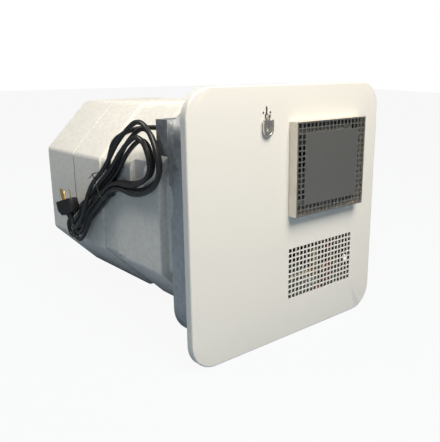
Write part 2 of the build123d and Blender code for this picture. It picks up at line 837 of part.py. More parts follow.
with BuildPart() as burner_bracket:
    side_low = manifold_z
    plate_end = panel_face - flue_wall - gap
    foot_high = flue_low - flue_radius
    side_high = flue_low + electrode_rise + ceramic_radius + bracket_sheet
    with BuildSketch(Plane.YZ.offset(bracket_x)):
        with BuildLine():
            Polyline(
                (bracket_front, side_low),
                (bracket_front, side_high),
                (plate_end, side_high),
                (plate_end, foot_high),
                (panel_face, foot_high),
                (panel_face, foot_high - bracket_foot),
                (burner_mouth, side_low),
                close=True,
            )
        make_face()
    extrude(amount=bracket_sheet)
    with BuildSketch(upright(panel_face)):
        with Locations((bracket_x + bracket_tab / 2, foot_high - bracket_foot / 2)):
            Rectangle(bracket_tab, bracket_foot)
    extrude(amount=bracket_sheet)
    with BuildSketch(Plane.XY.offset(post_top)):
        with Locations(((flue_x - post_radius + bracket_x) / 2, manifold_y)):
            Rectangle(bracket_x - flue_x + post_radius, 2 * post_radius)
    extrude(amount=bracket_sheet)
    with BuildSketch(upright(collar_y)):
        with Locations(((flue_x - burner_radius + bracket_x) / 2, (flue_low + side_high) / 2)):
            Rectangle(bracket_x - flue_x + burner_radius, side_high - flue_low)
        with Locations((flue_x, flue_low)):
            Circle(burner_radius, mode=Mode.SUBTRACT)
        with Locations((flue_x, flue_low + electrode_rise)):
            Circle(ceramic_radius, mode=Mode.SUBTRACT)
    extrude(amount=bracket_sheet)
finish(burner_bracket, "burner_bracket")

with BuildPart() as electrode:
    with BuildSketch(upright(ceramic_end)):
        with Locations((flue_x, flue_low + electrode_rise)):
            Circle(ceramic_radius)
    extrude(amount=ceramic_end - ceramic_front)
    with BuildSketch(upright(electrode_end)):
        with Locations((flue_x, flue_low + electrode_rise)):
            Circle(electrode_radius)
    extrude(amount=electrode_end - ceramic_end)
finish(electrode, "spark_electrode")

# Gas valve with its two coils, the pipes and their fittings
valve_width = 58.0
valve_front = -5.0
valve_depth = 30.0
valve_low = -117.0
valve_height = 33.0
valve_edge = 3.0
valve_boss = 2.5
coil_radius = 11.5
coil_height = 28.0
coil_spread = 28.0
coil_core_radius = 4.0
coil_core_rise = 3.0
yoke_sheet = 1.6
valve_right = valve_x + valve_width / 2
valve_y = valve_front + valve_depth / 2
valve_top = valve_low + valve_height
valve_back = valve_front + valve_depth

with BuildPart() as valve:
    with BuildSketch(Plane.XY.offset(valve_low)) as valve_plan:
        with Locations((valve_x, valve_y)):
            Rectangle(valve_width, valve_depth)
        fillet(valve_plan.vertices(), valve_edge)
    extrude(amount=valve_height)
    chamfer(valve.faces().sort_by(Axis.Z)[0].edges(), valve_edge / 2)
    with BuildSketch(Plane.YZ.offset(valve_right - valve_edge)):
        with Locations((manifold_y, manifold_z)):
            RegularPolygon(boss_radius + valve_boss, 6)
    extrude(amount=valve_edge + valve_boss)
    with BuildSketch(upright(valve_front)):
        with Locations((valve_x - coil_spread / 2, manifold_z), (valve_x + coil_spread / 2, manifold_z)):
            Circle(boss_radius)
    extrude(amount=valve_boss)
finish(valve, "gas_valve")

with BuildPart() as coils:
    for side in (-1, 1):
        coil_x = valve_x + side * coil_spread / 2
        with BuildSketch(Plane.XY.offset(valve_top + yoke_sheet)):
            with Locations((coil_x, valve_y)):
                Circle(coil_radius)
        extrude(amount=coil_height - 2 * yoke_sheet)
        for level in (valve_top, valve_top + coil_height - yoke_sheet):
            with BuildSketch(Plane.XY.offset(level)):
                with Locations((coil_x, valve_y)):
                    Rectangle(coil_radius * 2 - yoke_sheet, coil_radius * 2 + yoke_sheet)
            extrude(amount=yoke_sheet)
        with BuildSketch(Plane.XY.offset(valve_top + coil_height)):
            with Locations((coil_x, valve_y)):
                Circle(coil_core_radius)
        extrude(amount=coil_core_rise)
finish(coils, "valve_coils")

with BuildPart() as manifold:
    with BuildSketch(Plane.YZ.offset(valve_right + valve_boss)):
        with Locations((manifold_y, manifold_z)):
            Circle(manifold_radius)
    extrude(amount=flue_x - post_radius - boss_length - valve_right - valve_boss)
finish(manifold, "manifold_tube")

with BuildPart() as valve_bracket:
    with BuildSketch(Plane.XY.offset(valve_low + valve_edge)):
        with Locations((valve_x, (valve_back + panel_face) / 2)):
            Rectangle(valve_width / 2, panel_face - valve_back)
            inner_depth = panel_face - valve_back - 2 * yoke_sheet
            Rectangle(valve_width / 2 - 2 * yoke_sheet, inner_depth, mode=Mode.SUBTRACT)
        with Locations((valve_x, panel_face - yoke_sheet / 2)):
            Rectangle(2 * (valve_screw_reach + screw_head_radius + gap), yoke_sheet)
    extrude(amount=valve_height / 2)
    with BuildSketch(upright(panel_face)):
        with Locations(*screw_places):
            Circle(screw_radius)
    extrude(amount=yoke_sheet, mode=Mode.SUBTRACT)
finish(valve_bracket, "valve_bracket")

inlet_run_z = -148.0
inlet_rise_x = 99.0
inlet_x = 118.0
inlet_bend = 14.0
inlet_flare_radius = 7.94
inlet_flare_length = 13.0
inlet_nut_radius = 10.0
inlet_nut_length = 12.0
pipe_radius = 4.76
pipe_wall = 1.0

with BuildPart() as inlet_pipe:
    inlet_top = valve_low - inlet_nut_length
    with BuildLine() as inlet_path:
        FilletPolyline(
            (valve_x, gas_y, inlet_top),
            (valve_x, gas_y, inlet_run_z),
            (inlet_rise_x, gas_y, inlet_run_z),
            (inlet_rise_x, gas_y, gas_z),
            (inlet_x, gas_y, gas_z),
            radius=inlet_bend,
        )
    with BuildSketch(Plane(origin=inlet_path.line @ 0, x_dir=(1, 0, 0), z_dir=(0, 0, -1))):
        Circle(pipe_radius)
    sweep()
    with BuildSketch(Plane.XY.offset(inlet_top)):
        with Locations((valve_x, gas_y)):
            RegularPolygon(inlet_nut_radius, 6)
    extrude(amount=inlet_nut_length)
finish(inlet_pipe, "gas_inlet_pipe")

with BuildPart() as inlet_fitting:
    with BuildSketch(Plane.YZ.offset(inlet_x)):
        with Locations((gas_y, gas_z)):
            RegularPolygon(inlet_nut_radius, 6)
    extrude(amount=inlet_nut_length / 2)
    with BuildSketch(Plane.YZ.offset(inlet_x + inlet_nut_length / 2)):
        with Locations((gas_y, gas_z)):
            Circle(inlet_flare_radius)
    extrude(amount=inlet_flare_length)
    with BuildSketch(Plane.YZ.offset(inlet_x)):
        with Locations((gas_y, gas_z)):
            Circle(pipe_radius - pipe_wall)
    extrude(amount=inlet_nut_length + inlet_flare_length, mode=Mode.SUBTRACT)
finish(inlet_fitting, "gas_inlet_fitting")

with BuildPart() as grommet:
    bore = pipe_radius + panel_hole_gap
    for start, length, radius in (
        (casing_inner / 2 - grommet_sheet, grommet_sheet, grommet_flange),
        (casing_inner / 2, casing_sheet, grommet_radius),
    ):
        with BuildSketch(Plane.YZ.offset(start)):
            with Locations((gas_y, gas_z)):
                Circle(radius)
                Circle(bore, mode=Mode.SUBTRACT)
        extrude(amount=length)
finish(grommet, "gas_line_grommet")

# Control module for the burner, on the left of the panel
module_left = -155.0
module_width = 74.0
module_low = -15.0
module_height = 92.0
module_front = 30.0
module_edge = 2.5
module_plug_width = 38.0
module_plug_height = 9.0
module_plug_depth = 6.0
module_flange = 3.0
module_x = module_left + module_width / 2
module_z = module_low + module_height / 2

with BuildPart() as module:
    with BuildSketch(upright(panel_face)):
        with Locations((module_x, module_z)):
            RectangleRounded(module_width, module_height, module_edge)
    extrude(amount=module_flange)
    with BuildSketch(upright(panel_face - module_flange)):
        with Locations((module_x, module_z)):
            RectangleRounded(module_width - 2 * module_edge, module_height - 2 * module_edge, module_edge)
    extrude(amount=panel_face - module_flange - module_front)
    fillet(module.faces().sort_by(Axis.Y)[0].edges(), module_edge / 2)
    with BuildSketch(upright(module_front)):
        with Locations((module_x, module_low + module_height / 4)):
            Rectangle(module_plug_width, module_plug_height)
    extrude(amount=module_plug_depth)
finish(module, "control_module")

# Thermostats pressed through the panel against the tank, each with a reset button
plate_width = 60.0
plate_height = 34.0
plate_face = 48.0
plate_sheet = 1.2
disc_radius = 8.5
disc_depth = 8.0
button_radius = 2.4
button_rise = 3.5
button_travel = 1.5
button_length = 6.5
disc_face = plate_face - plate_sheet - disc_depth


def head_depth(x, z, reach):
    """The depth of the tank's front crown at the near edge of something round."""
    crown_radius = tank_radius - head_knuckle * 2
    return tank_front + head_knuckle / 2 * (math.hypot(x, z) - reach) / crown_radius


with BuildPart() as plate:
    with BuildSketch(Plane.XY.offset(thermostat_z - plate_height / 2)):
        with BuildLine():
            outline = Polyline(
                (thermostat_x - plate_screw_reach - screw_head_radius - gap, panel_face),
                (thermostat_x - plate_width / 2, panel_face),
                (thermostat_x - plate_width / 2, plate_face),
                (thermostat_x + plate_width / 2, plate_face),
                (thermostat_x + plate_width / 2, panel_face),
                (thermostat_x + plate_screw_reach + screw_head_radius + gap, panel_face),
            )
            offset(outline, amount=plate_sheet, side=Side.RIGHT)
        make_face()
    extrude(amount=plate_height)
    with BuildSketch(upright(panel_face + overrun)):
        with Locations(*thermostat_places):
            Circle(thermostat_cup_radius)
        with Locations(*screw_places):
            Circle(screw_radius)
    extrude(amount=panel_face, mode=Mode.SUBTRACT)
finish(plate, "thermostat_plate")

with BuildPart() as thermostats:
    for x, z in thermostat_places:
        with BuildSketch(upright(plate_face - plate_sheet)):
            with Locations((x, z)):
                Circle(disc_radius)
        extrude(amount=disc_depth)
        with BuildSketch(upright(head_depth(x, z, thermostat_cup_radius) - gap)):
            with Locations((x, z)):
                Circle(thermostat_cup_radius)
        extrude(amount=head_depth(x, z, thermostat_cup_radius) - gap - plate_face + plate_sheet)
        with BuildSketch(upright(disc_face)):
            with Locations((x, z)):
                Circle(button_radius + turning_gap)
        extrude(amount=-(button_length - button_rise + button_travel + gap), mode=Mode.SUBTRACT)
finish(thermostats, "thermostats")

for (x, z), label in zip(thermostat_places, ("reset_button_electric", "reset_button_gas")):
    with BuildPart() as button:
        with BuildSketch(upright(disc_face - button_rise)):
            with Locations((x, z)):
                Circle(button_radius)
        extrude(amount=-button_length)
        fillet(button.faces().sort_by(Axis.Y)[0].edges(), button_radius / 4)
    finish(button, label)

# Pressure and temperature relief valve with its test lever
relief_y = 24.0
relief_radius = 13.0
relief_low = 78.0
relief_body = 40.0
outlet_radius = 10.5
outlet_length = 12.0
outlet_wall = 2.0
bonnet_radius = 9.0
bonnet_height = 6.0
fork_width = 6.0
fork_depth = 8.0
fork_height = 7.0
lever_pin_radius = 1.25
lever_sheet = 1.2
lever_side_gap = 0.1
lever_reach = 30.0
lever_start = 8.0
lever_ear_radius = 3.2
relief_top = relief_low + relief_body
bonnet_top = relief_top + bonnet_height
lever_z = bonnet_top + fork_height - lever_ear_radius + gap / 2
lever_half = fork_width / 2 + lever_side_gap + lever_sheet
lever_roof = bonnet_top + fork_height + gap

with BuildPart() as relief:
    with BuildSketch(Plane.XY.offset(relief_low)):
        with Locations((relief_x, relief_y)):
            Circle(relief_radius)
    extrude(amount=relief_body)
    with BuildSketch(Plane.XY.offset(relief_top)):
        with Locations((relief_x, relief_y)):
            Circle(bonnet_radius)
    extrude(amount=bonnet_height)
    chamfer(relief.edges().filter_by(GeomType.CIRCLE).sort_by(Axis.Z)[-1], lever_sheet)
    with BuildSketch(Plane.XY.offset(relief_low - outlet_length)):
        with Locations((relief_x, relief_y)):
            Circle(outlet_radius)
    extrude(amount=outlet_length)
    with BuildSketch(Plane.XY.offset(relief_low - outlet_length)):
        with Locations((relief_x, relief_y)):
            Circle(outlet_radius - outlet_wall)
    extrude(amount=outlet_length + outlet_wall, mode=Mode.SUBTRACT)
    with BuildSketch(upright(tank_front + spud_wall)):
        with Locations((relief_x, relief_z)):
            Circle(relief_thread - turning_gap)
    extrude(amount=tank_front + spud_wall - relief_y)
    with BuildSketch(upright(panel_face - gap)):
        with Locations((relief_x, relief_z)):
            RegularPolygon(relief_radius, 6)
    extrude(amount=panel_face - gap - relief_y - outlet_radius)
    with BuildSketch(Plane.XY.offset(bonnet_top)):
        with Locations((relief_x, relief_y)):
            Rectangle(fork_width, fork_depth)
    extrude(amount=fork_height)
    with BuildSketch(Plane.YZ.offset(relief_x - fork_width)):
        with Locations((relief_y, lever_z)):
            Circle(lever_pin_radius)
    extrude(amount=2 * fork_width, mode=Mode.SUBTRACT)
finish(relief, "relief_valve")

with BuildPart() as lever_pin:
    with BuildSketch(Plane.YZ.offset(relief_x - lever_half)):
        with Locations((relief_y, lever_z)):
            Circle(lever_pin_radius)
    extrude(amount=2 * lever_half)
finish(lever_pin, "lever_pin")

with BuildPart() as lever:
    for side in (-1, 1):
        with BuildSketch(Plane.YZ.offset(relief_x + side * (lever_half - lever_sheet))):
            with Locations((relief_y, lever_z)):
                Circle(lever_ear_radius)
            with BuildLine():
                Polyline(
                    (relief_y, lever_z - lever_ear_radius),
                    (relief_y, lever_z + lever_ear_radius),
                    (relief_y - lever_start - lever_ear_radius, lever_roof + lever_sheet),
                    (relief_y - lever_reach / 2, lever_roof + lever_sheet),
                    (relief_y - lever_reach / 2, lever_roof),
                    close=True,
                )
            make_face()
            with Locations((relief_y, lever_z)):
                Circle(lever_pin_radius + turning_gap, mode=Mode.SUBTRACT)
        extrude(amount=side * lever_sheet)
    with BuildSketch(Plane.XY.offset(lever_roof)):
        with Locations((relief_x, relief_y - (lever_reach + lever_start + lever_ear_radius) / 2)):
            Rectangle(2 * lever_half, lever_reach - lever_start - lever_ear_radius)
    extrude(amount=lever_sheet)
    fillet(lever.edges().filter_by(Axis.Z).group_by(Axis.Y)[0], lever_sheet)
finish(lever, "relief_lever")

# Anode rod and electric element, screwed into the front head
anode_start = 54.0
element_flange = 10.0
element_gasket_sheet = 2.0
element_hex = 22.0
element_rod_radius = 4.0
element_rod_spread = 18.0
element_rod_length = 240.0
cover_depth = 20.0
cover_sheet = 1.5
cover_width = 46.0
element_face = panel_back + gap - element_gasket_sheet

with BuildPart() as anode:
    with BuildSketch(upright(anode_start)):
        with Locations((anode_x, anode_z)):
            RegularPolygon(anode_hex, 6)
    extrude(amount=anode_head)
    chamfer(anode.faces().sort_by(Axis.Y)[0].edges(), panel_hole_gap)
    with BuildSketch(upright(anode_start)):
        with Locations((anode_x, anode_z)):
            Circle(anode_thread - turning_gap)
    extrude(amount=anode_start - tank_front - head_rise)
    with BuildSketch(upright(tank_front + head_rise)):
        with Locations((anode_x, anode_z)):
            Circle(anode_rod_radius)
    extrude(amount=-anode_rod_length)
finish(anode, "anode_rod")

with BuildPart() as element_gasket:
    with BuildSketch(upright(panel_back + gap)):
        with Locations((element_x, element_z)):
            Circle(element_thread + spud_wall)
            Circle(element_thread, mode=Mode.SUBTRACT)
    extrude(amount=element_gasket_sheet)
finish(element_gasket, "element_gasket")

with BuildPart() as element:
    with BuildSketch(upright(element_face)):
        with Locations((element_x, element_z)):
            RegularPolygon(element_hex, 6)
    extrude(amount=element_flange)
    with BuildSketch(upright(tank_front + head_knuckle)):
        with Locations((element_x, element_z)):
            Circle(element_thread - turning_gap)
    extrude(amount=tank_front + head_knuckle - element_face)
    rod_start = tank_front + head_knuckle
    with BuildLine() as rod_path:
        FilletPolyline(
            (element_x, rod_start, element_z - element_rod_spread / 2),
            (element_x, rod_start + element_rod_length, element_z - element_rod_spread / 2),
            (element_x, rod_start + element_rod_length, element_z + element_rod_spread / 2),
            (element_x, rod_start, element_z + element_rod_spread / 2),
            radius=element_rod_spread / 2 - turning_gap,
        )
    with BuildSketch(Plane(origin=rod_path.line @ 0, x_dir=(1, 0, 0), z_dir=(0, 1, 0))):
        Circle(element_rod_radius)
    sweep()
    with BuildSketch(upright(element_face - element_flange)):
        with Locations((element_x, element_z)):
            with GridLocations(element_rod_spread, 0, 2, 1):
                Circle(element_rod_radius)
    extrude(amount=element_rod_radius)
finish(element, "heating_element")

with BuildPart() as element_cover:
    with BuildSketch(upright(element_face - element_flange)):
        with Locations((element_x, element_z)):
            RectangleRounded(cover_width, cover_width, element_rod_radius)
    extrude(amount=cover_depth)
    with BuildSketch(upright(element_face - element_flange)):
        with Locations((element_x, element_z)):
            inside = cover_width - 2 * cover_sheet
            RectangleRounded(inside, inside, element_rod_radius - cover_sheet)
    extrude(amount=cover_depth - cover_sheet, mode=Mode.SUBTRACT)
finish(element_cover, "element_cover")

# Rocker switch for the element, in its own bracket
switch_left = -156.0
switch_low = -108.0
switch_width = 34.0
switch_height = 46.0
switch_face = 26.0
switch_sheet = 1.2
bezel_width = 16.4
bezel_height = 22.4
bezel_sheet = 1.6
socket_width = 14.0
socket_height = 20.4
socket_depth = 22.0
pocket_width = 11.0
pocket_reach = 9.2
rocker_width = 10.4
rocker_reach = 8.0
rocker_nose = 6.0
rocker_valley = 3.0
rocker_root = 6.0
stub_radius = 1.5
stub_length = 1.5
switch_x = switch_left + switch_width / 2
switch_z = switch_low + switch_height / 2
rocker_y = switch_face + switch_sheet + gap

with BuildPart() as switch_bracket:
    side_x = switch_left + switch_width
    with BuildSketch(Plane.XY.offset(switch_low)):
        with BuildLine():
            fold = Polyline(
                (switch_left, switch_face),
                (side_x, switch_face),
                (side_x, panel_face - switch_sheet),
                (switch_screw_x + screw_head_radius + gap, panel_face - switch_sheet),
            )
            offset(fold, amount=switch_sheet, side=Side.LEFT)
        make_face()
    extrude(amount=switch_height)
    with BuildSketch(upright(switch_face + overrun)):
        with Locations((switch_x, switch_z)):
            Rectangle(socket_width, socket_height)
    extrude(amount=overrun * 2, mode=Mode.SUBTRACT)
    with BuildSketch(upright(panel_face + overrun)):
        with Locations(*screw_places):
            Circle(screw_radius)
    extrude(amount=overrun * 2, mode=Mode.SUBTRACT)
finish(switch_bracket, "switch_bracket")

with BuildPart() as switch_body:
    with BuildSketch(upright(switch_face)):
        with Locations((switch_x, switch_z)):
            RectangleRounded(bezel_width, bezel_height, bezel_sheet)
    extrude(amount=bezel_sheet)
    with BuildSketch(upright(switch_face)):
        with Locations((switch_x, switch_z)):
            Rectangle(socket_width, socket_height)
    extrude(amount=-socket_depth)
    with BuildSketch(upright(rocker_y + rocker_root + gap)):
        with Locations((switch_x, switch_z)):
            Rectangle(pocket_width, 2 * pocket_reach)
    extrude(amount=rocker_root + overrun + bezel_sheet, mode=Mode.SUBTRACT)
    with BuildSketch(Plane.YZ.offset(switch_x - socket_width / 2)):
        with Locations((rocker_y, switch_z)):
            Circle(stub_radius + turning_gap)
    extrude(amount=socket_width, mode=Mode.SUBTRACT)
finish(switch_body, "switch_body")

with BuildPart() as rocker:
    with BuildSketch(Plane.YZ.offset(switch_x - rocker_width / 2)):
        with Locations((rocker_y, switch_z)):
            Circle(rocker_root)
        with BuildLine():
            Polyline(
                (rocker_y, switch_z - rocker_root),
                (rocker_y - rocker_nose, switch_z - rocker_reach),
                (rocker_y - rocker_valley, switch_z),
                (rocker_y - rocker_nose, switch_z + rocker_reach),
                (rocker_y, switch_z + rocker_root),
                close=True,
            )
        make_face()
    extrude(amount=rocker_width)
    with BuildSketch(Plane.YZ.offset(switch_x - rocker_width / 2 - stub_length)):
        with Locations((rocker_y, switch_z)):
            Circle(stub_radius)
    extrude(amount=rocker_width + 2 * stub_length)
finish(rocker, "switch_rocker")

# Screws that hold the brackets to the panel
with BuildPart() as screws:
    for x, z in screw_places:
        seat = panel_face - (yoke_sheet if z == valve_screw_z else plate_sheet)
        with BuildSketch(upright(seat)):
            with Locations((x, z)):
                Circle(screw_head_radius)
        extrude(amount=screw_head)
        with BuildSketch(upright(panel_back)):
            with Locations((x, z)):
                Circle(screw_radius)
        extrude(amount=panel_back - seat)
finish(screws, "panel_screws")

# Water connections at the back: cold in below, hot out above
port_reach = 20.0

with BuildPart() as water_fittings:
    for z in (port_rise, -port_rise):
        with BuildSketch(upright(port_seat)):
            with Locations((port_x, z)):
                RegularPolygon(port_hex, 6)
        extrude(amount=-port_hex_length)
        with BuildSketch(upright(port_end)):
            with Locations((port_x, z)):
                Circle(port_radius)
        extrude(amount=port_end - port_seat)
        with BuildSketch(upright(port_seat)):
            with Locations((port_x, z)):
                Circle(port_radius - turning_gap)
        extrude(amount=port_reach)
        with BuildSketch(upright(port_end)):
            with Locations((port_x, z)):
                Circle(port_bore)
        extrude(amount=port_end - port_seat + port_reach, mode=Mode.SUBTRACT)
finish(water_fittings, "water_fittings")

# Junction box on the corner tab, open towards the side and closed by its cover
box_flange = 6.0
gland_x = -150.0
gland_z = 135.5
gland_radius = 6.0
gland_collar_radius = 7.6
gland_collar = 2.0
gland_neck_radius = 4.9
gland_length = 9.0
cord_radius = 3.6
box_right = box_left + box_width

with BuildPart() as box:
    with BuildSketch(Plane.YZ.offset(box_left + box_sheet)):
        with Locations(((box_front + box_back) / 2, box_z)):
            Rectangle(box_length, box_height)
    extrude(amount=box_width - box_sheet)
    with BuildSketch(Plane.YZ.offset(box_left + 2 * box_sheet)):
        with Locations(((box_front + box_back) / 2, box_z)):
            Rectangle(box_length - 2 * box_sheet, box_height - 2 * box_sheet)
    extrude(amount=box_width - 3 * box_sheet, mode=Mode.SUBTRACT)
    with BuildSketch(Plane.YZ.offset(box_left)):
        with Locations(((box_front + box_back) / 2, box_z)):
            Rectangle(box_length - 2 * box_sheet, box_height - 2 * box_flange)
    extrude(amount=3 * box_sheet, mode=Mode.SUBTRACT)
    with BuildSketch(upright(box_back + overrun)):
        with Locations((gland_x, gland_z)):
            Circle(gland_radius)
    extrude(amount=2 * overrun, mode=Mode.SUBTRACT)
    with BuildSketch(upright(box_front + overrun)):
        with Locations((box_x, box_z - box_height / 4)):
            Circle(tab_slot_radius)
    extrude(amount=2 * overrun, mode=Mode.SUBTRACT)
finish(box, "junction_box")

with BuildPart() as box_cover:
    with BuildSketch(Plane.YZ.offset(box_left)):
        with Locations(((box_front + box_back) / 2, box_z)):
            Rectangle(box_length, box_height)
    extrude(amount=box_sheet)
finish(box_cover, "junction_box_cover")

with BuildPart() as gland:
    for start, length, radius in (
        (box_back - box_sheet, gland_collar, gland_collar_radius),
        (box_back, box_sheet, gland_radius),
        (box_back + gland_collar, gland_collar, gland_collar_radius),
    ):
        with BuildSketch(upright(start)):
            with Locations((gland_x, gland_z)):
                Circle(radius)
        extrude(amount=length)
    with BuildSketch(upright(box_back + gland_collar)):
        with Locations((gland_x, gland_z)):
            Circle(gland_radius)
    with BuildSketch(upright(box_back + gland_length)):
        with Locations((gland_x, gland_z)):
            Circle(gland_neck_radius)
    loft(ruled=True)
finish(gland, "cord_gland")

# Lead from the junction box to the hank, as straight runs joined by wide arcs
lead_start = box_back + gland_length
hank_clear = 2.0
hank_x = -body_size / 2 - hank_clear - cord_radius
lead_end = (hank_x, 220.0, 90.0)
lead_way = (0.0, 0.53, -0.848)


arc_fill_share = 0.45
straight_limit = 1e-9


def tube_radii(points):
    """The widest arc that each corner of a route leaves room for."""
    radii = []
    for before, corner, after in zip(points, points[1:], points[2:]):
        arriving = Vector(*corner) - Vector(*before)
        leaving = Vector(*after) - Vector(*corner)
        half_turn = math.radians(arriving.get_angle(leaving)) / 2
        radii.append(arc_fill_share * min(arriving.length, leaving.length) / math.tan(half_turn))
    return radii


def tube(label, points, radius):
    """A round tube along a route of runs and arcs, with its radii and its volume compared."""
    radii = tube_radii(points)
    with BuildPart() as cord:
        with BuildLine() as route:
            FilletPolyline(*points, radius=radii)
        with BuildSketch(Plane(origin=route.line @ 0, z_dir=route.line % 0)):
            Circle(radius)
        sweep()
    length = sum(edge.length for edge in route.edges())
    print(label, "radii", [round(r, 1) for r in radii], "length", round(length, 1))
    print(label, "volume share", round(cord.part.volume / (math.pi * radius**2 * length), 4))
    finish(cord, label)


lead_points = [
    (gland_x, lead_start, gland_z),
    (gland_x, 119.0, gland_z),
    (-153.0, 141.0, 134.0),
    (-160.0, 164.0, 130.0),
    (-165.5, 188.0, 121.0),
    (hank_x, 207.4, 110.2),
    lead_end,
]
tube("power_lead", lead_points, cord_radius)

# Hank of the spare lead: four pinched turns in layers, drawn in at the waist
hank_y = 226.0
hank_z = 39.0
hank_lane = 8.1
hank_layer = 9.0
upper_lie = -27.0
waist_lie = -31.0
lower_lie = -35.0
lower_start = 60.0
tail_reach = 117.0
tail_lane_share = -2.03
tail_layer_share = 2.6
plug_way = Vector(0, 0.37, 0.93).normalized()
plug_bend = 10.0


def on_hank(lie, along, lane, layer):
    """A point reached from the waist along a line that lies at an angle, then across it."""
    turn = math.radians(lie)
    across = lane * hank_lane
    return Vector(
        hank_x - layer * hank_layer,
        hank_y + along * math.cos(turn) - across * math.sin(turn),
        hank_z + along * math.sin(turn) + across * math.cos(turn),
    )


def heading(lie, way):
    """The direction of a line that lies at an angle, down the hank or back up it."""
    return Vector(0, math.cos(math.radians(lie)), math.sin(math.radians(lie))) * way


def hank_keys():
    """The places and directions that the lead passes through, turn by turn."""
    down, up = 1, -1
    turns = [
        ((2.5, 0), (3.19, -1.12, 198.0), (-1.5, 0), (40.0, 117.0), (1.5, 0)),
        ((1.5, 0), (1.9, 0.01, 172.0), (-0.5, 0), (27.0, 113.0), (0.5, 0)),
        ((0.5, 1), (-0.39, -2.41, 149.0), (-0.5, 1), (31.0, 114.0), (1.5, 1)),
        ((1.5, 1), (0.7, -3.66, 160.0), (-1.5, 1), (48.0, 119.0), (2.0, 2)),
    ]
    keys = [(Vector(*lead_end), Vector(*lead_way).normalized())]
    keys.append((on_hank(waist_lie, 0, *turns[0][0]), heading(waist_lie, down)))
    for (lane, layer), (outer, inner, fold), (back, back_layer), (wide, reach), (last, last_layer) in turns:
        fold_start = fold - (outer - inner) * hank_lane / 2
        keys.append((on_hank(lower_lie, lower_start, lane, layer), heading(lower_lie, down)))
        keys.append((on_hank(lower_lie, fold_start, outer, back_layer), heading(lower_lie, down)))
        keys.append((on_hank(lower_lie, fold_start, inner, back_layer), heading(lower_lie, up)))
        keys.append((on_hank(lower_lie, lower_start, back, back_layer), heading(lower_lie, up)))
        keys.append((on_hank(waist_lie, 0, back, back_layer), heading(waist_lie, up)))
        side = wide / hank_lane
        keys.append((on_hank(upper_lie, -reach, -side, back_layer), heading(upper_lie, up)))
        keys.append((on_hank(upper_lie, -reach, side, back_layer), heading(upper_lie, down)))
        keys.append((on_hank(waist_lie, 0, last, last_layer), heading(waist_lie, down)))
    tail = heading(lower_lie, down)
    bend_reach = plug_bend * math.tan(math.radians(tail.get_angle(plug_way)) / 2)
    tail_end = on_hank(lower_lie, tail_reach, tail_lane_share, tail_layer_share)
    keys.append((tail_end, tail))
    keys.append((tail_end + (tail + plug_way) * bend_reach, plug_way))
    keys.append((tail_end + (tail + plug_way) * bend_reach + plug_way * cord_radius * 2, plug_way))
    return keys


def biarc(start, start_way, end, end_way):
    """Two arcs that join two places smoothly: each as its start, corner and end."""
    span = end - start
    both = start_way + end_way
    opening = 1 - start_way.dot(end_way)
    if opening < straight_limit:
        reach = span.dot(span) / (2 * span.dot(both))
    else:
        along = span.dot(both)
        reach = (math.sqrt(along**2 + 2 * opening * span.dot(span)) - along) / (2 * opening)
    meet = (start + end + (start_way - end_way) * reach) / 2
    return [(start, start + start_way * reach, meet), (meet, end - end_way * reach, end)]


def arc_share(start, corner, end):
    """The cosine of half the turn of an arc that is given by its start, corner and end."""
    return (end - start).length / 2 / (corner - start).length


def arc_points(start, corner, end, count):
    """Points along one arc, its last left out."""
    weight = arc_share(start, corner, end)
    points = []
    for step in range(count):
        t = step / count
        shares = ((1 - t) ** 2, 2 * weight * t * (1 - t), t**2)
        points.append((start * shares[0] + corner * shares[1] + end * shares[2]) / sum(shares))
    return points


hank_arcs = []
hank_places = hank_keys()
for (start, start_way), (end, end_way) in zip(hank_places, hank_places[1:]):
    hank_arcs.extend(biarc(start, start_way, end, end_way))

hank_points = []
hank_radii = []
for start, corner, end in hank_arcs:
    cosine = min(arc_share(start, corner, end), 1)
    if cosine < 1 - straight_limit:
        hank_radii.append((end - start).length / 2 / math.sqrt(1 - cosine**2))
    hank_points.extend(arc_points(start, corner, end, 1 + round((end - start).length / cord_radius)))

travelled = [0.0]
for before, after in zip(hank_points, hank_points[1:]):
    travelled.append(travelled[-1] + (after - before).length)
least = min(
    (a - b).length
    for i, a in enumerate(hank_points)
    for j, b in enumerate(hank_points[:i])
    if travelled[i] - travelled[j] > 4 * cord_radius
)
print("hank length", round(travelled[-1]), "tightest bend", round(min(hank_radii), 1))
print("hank least gap to itself", round(least - 2 * cord_radius, 2))

with BuildPart() as hank:
    with BuildLine() as hank_route:
        for start, corner, end in hank_arcs:
            cosine = min(arc_share(start, corner, end), 1)
            if cosine < 1 - straight_limit:
                middle = (start + end) / 2
                ThreePointArc(start, middle + (corner - middle) * cosine / (1 + cosine), end)
            else:
                Line(start, end)
    with BuildSketch(Plane(origin=hank_route.line @ 0, z_dir=hank_route.line % 0)):
        Circle(cord_radius)
    sweep()
finish(hank, "power_lead_hank")
hank_length = sum(edge.length for edge in hank_route.edges())
print("hank volume share", round(hank.part.volume / (math.pi * cord_radius**2 * hank_length), 4))

# Moulded plug with its bending boot, and its three flat pins
boot_length = 10.0
boot_root = 7.0
plug_length = 24.0
plug_width = 37.0
plug_thickness = 24.0
plug_corner = 9.0
plug_taper = 8.0
pin_circle = 7.92
pin_width = 6.35
pin_thickness = 1.6
pin_length = 17.0
earth_length = 20.0
pin_lean = 30.0
plug_across = Vector(0.505, -0.802, 0.319)
plug_base = hank_places[-1][0]


def on_plug(rise):
    """A plane across the plug, at a height above the end of the lead."""
    return Plane(origin=plug_base + plug_way * rise, x_dir=plug_across, z_dir=plug_way)


plug_face = boot_length + plug_length

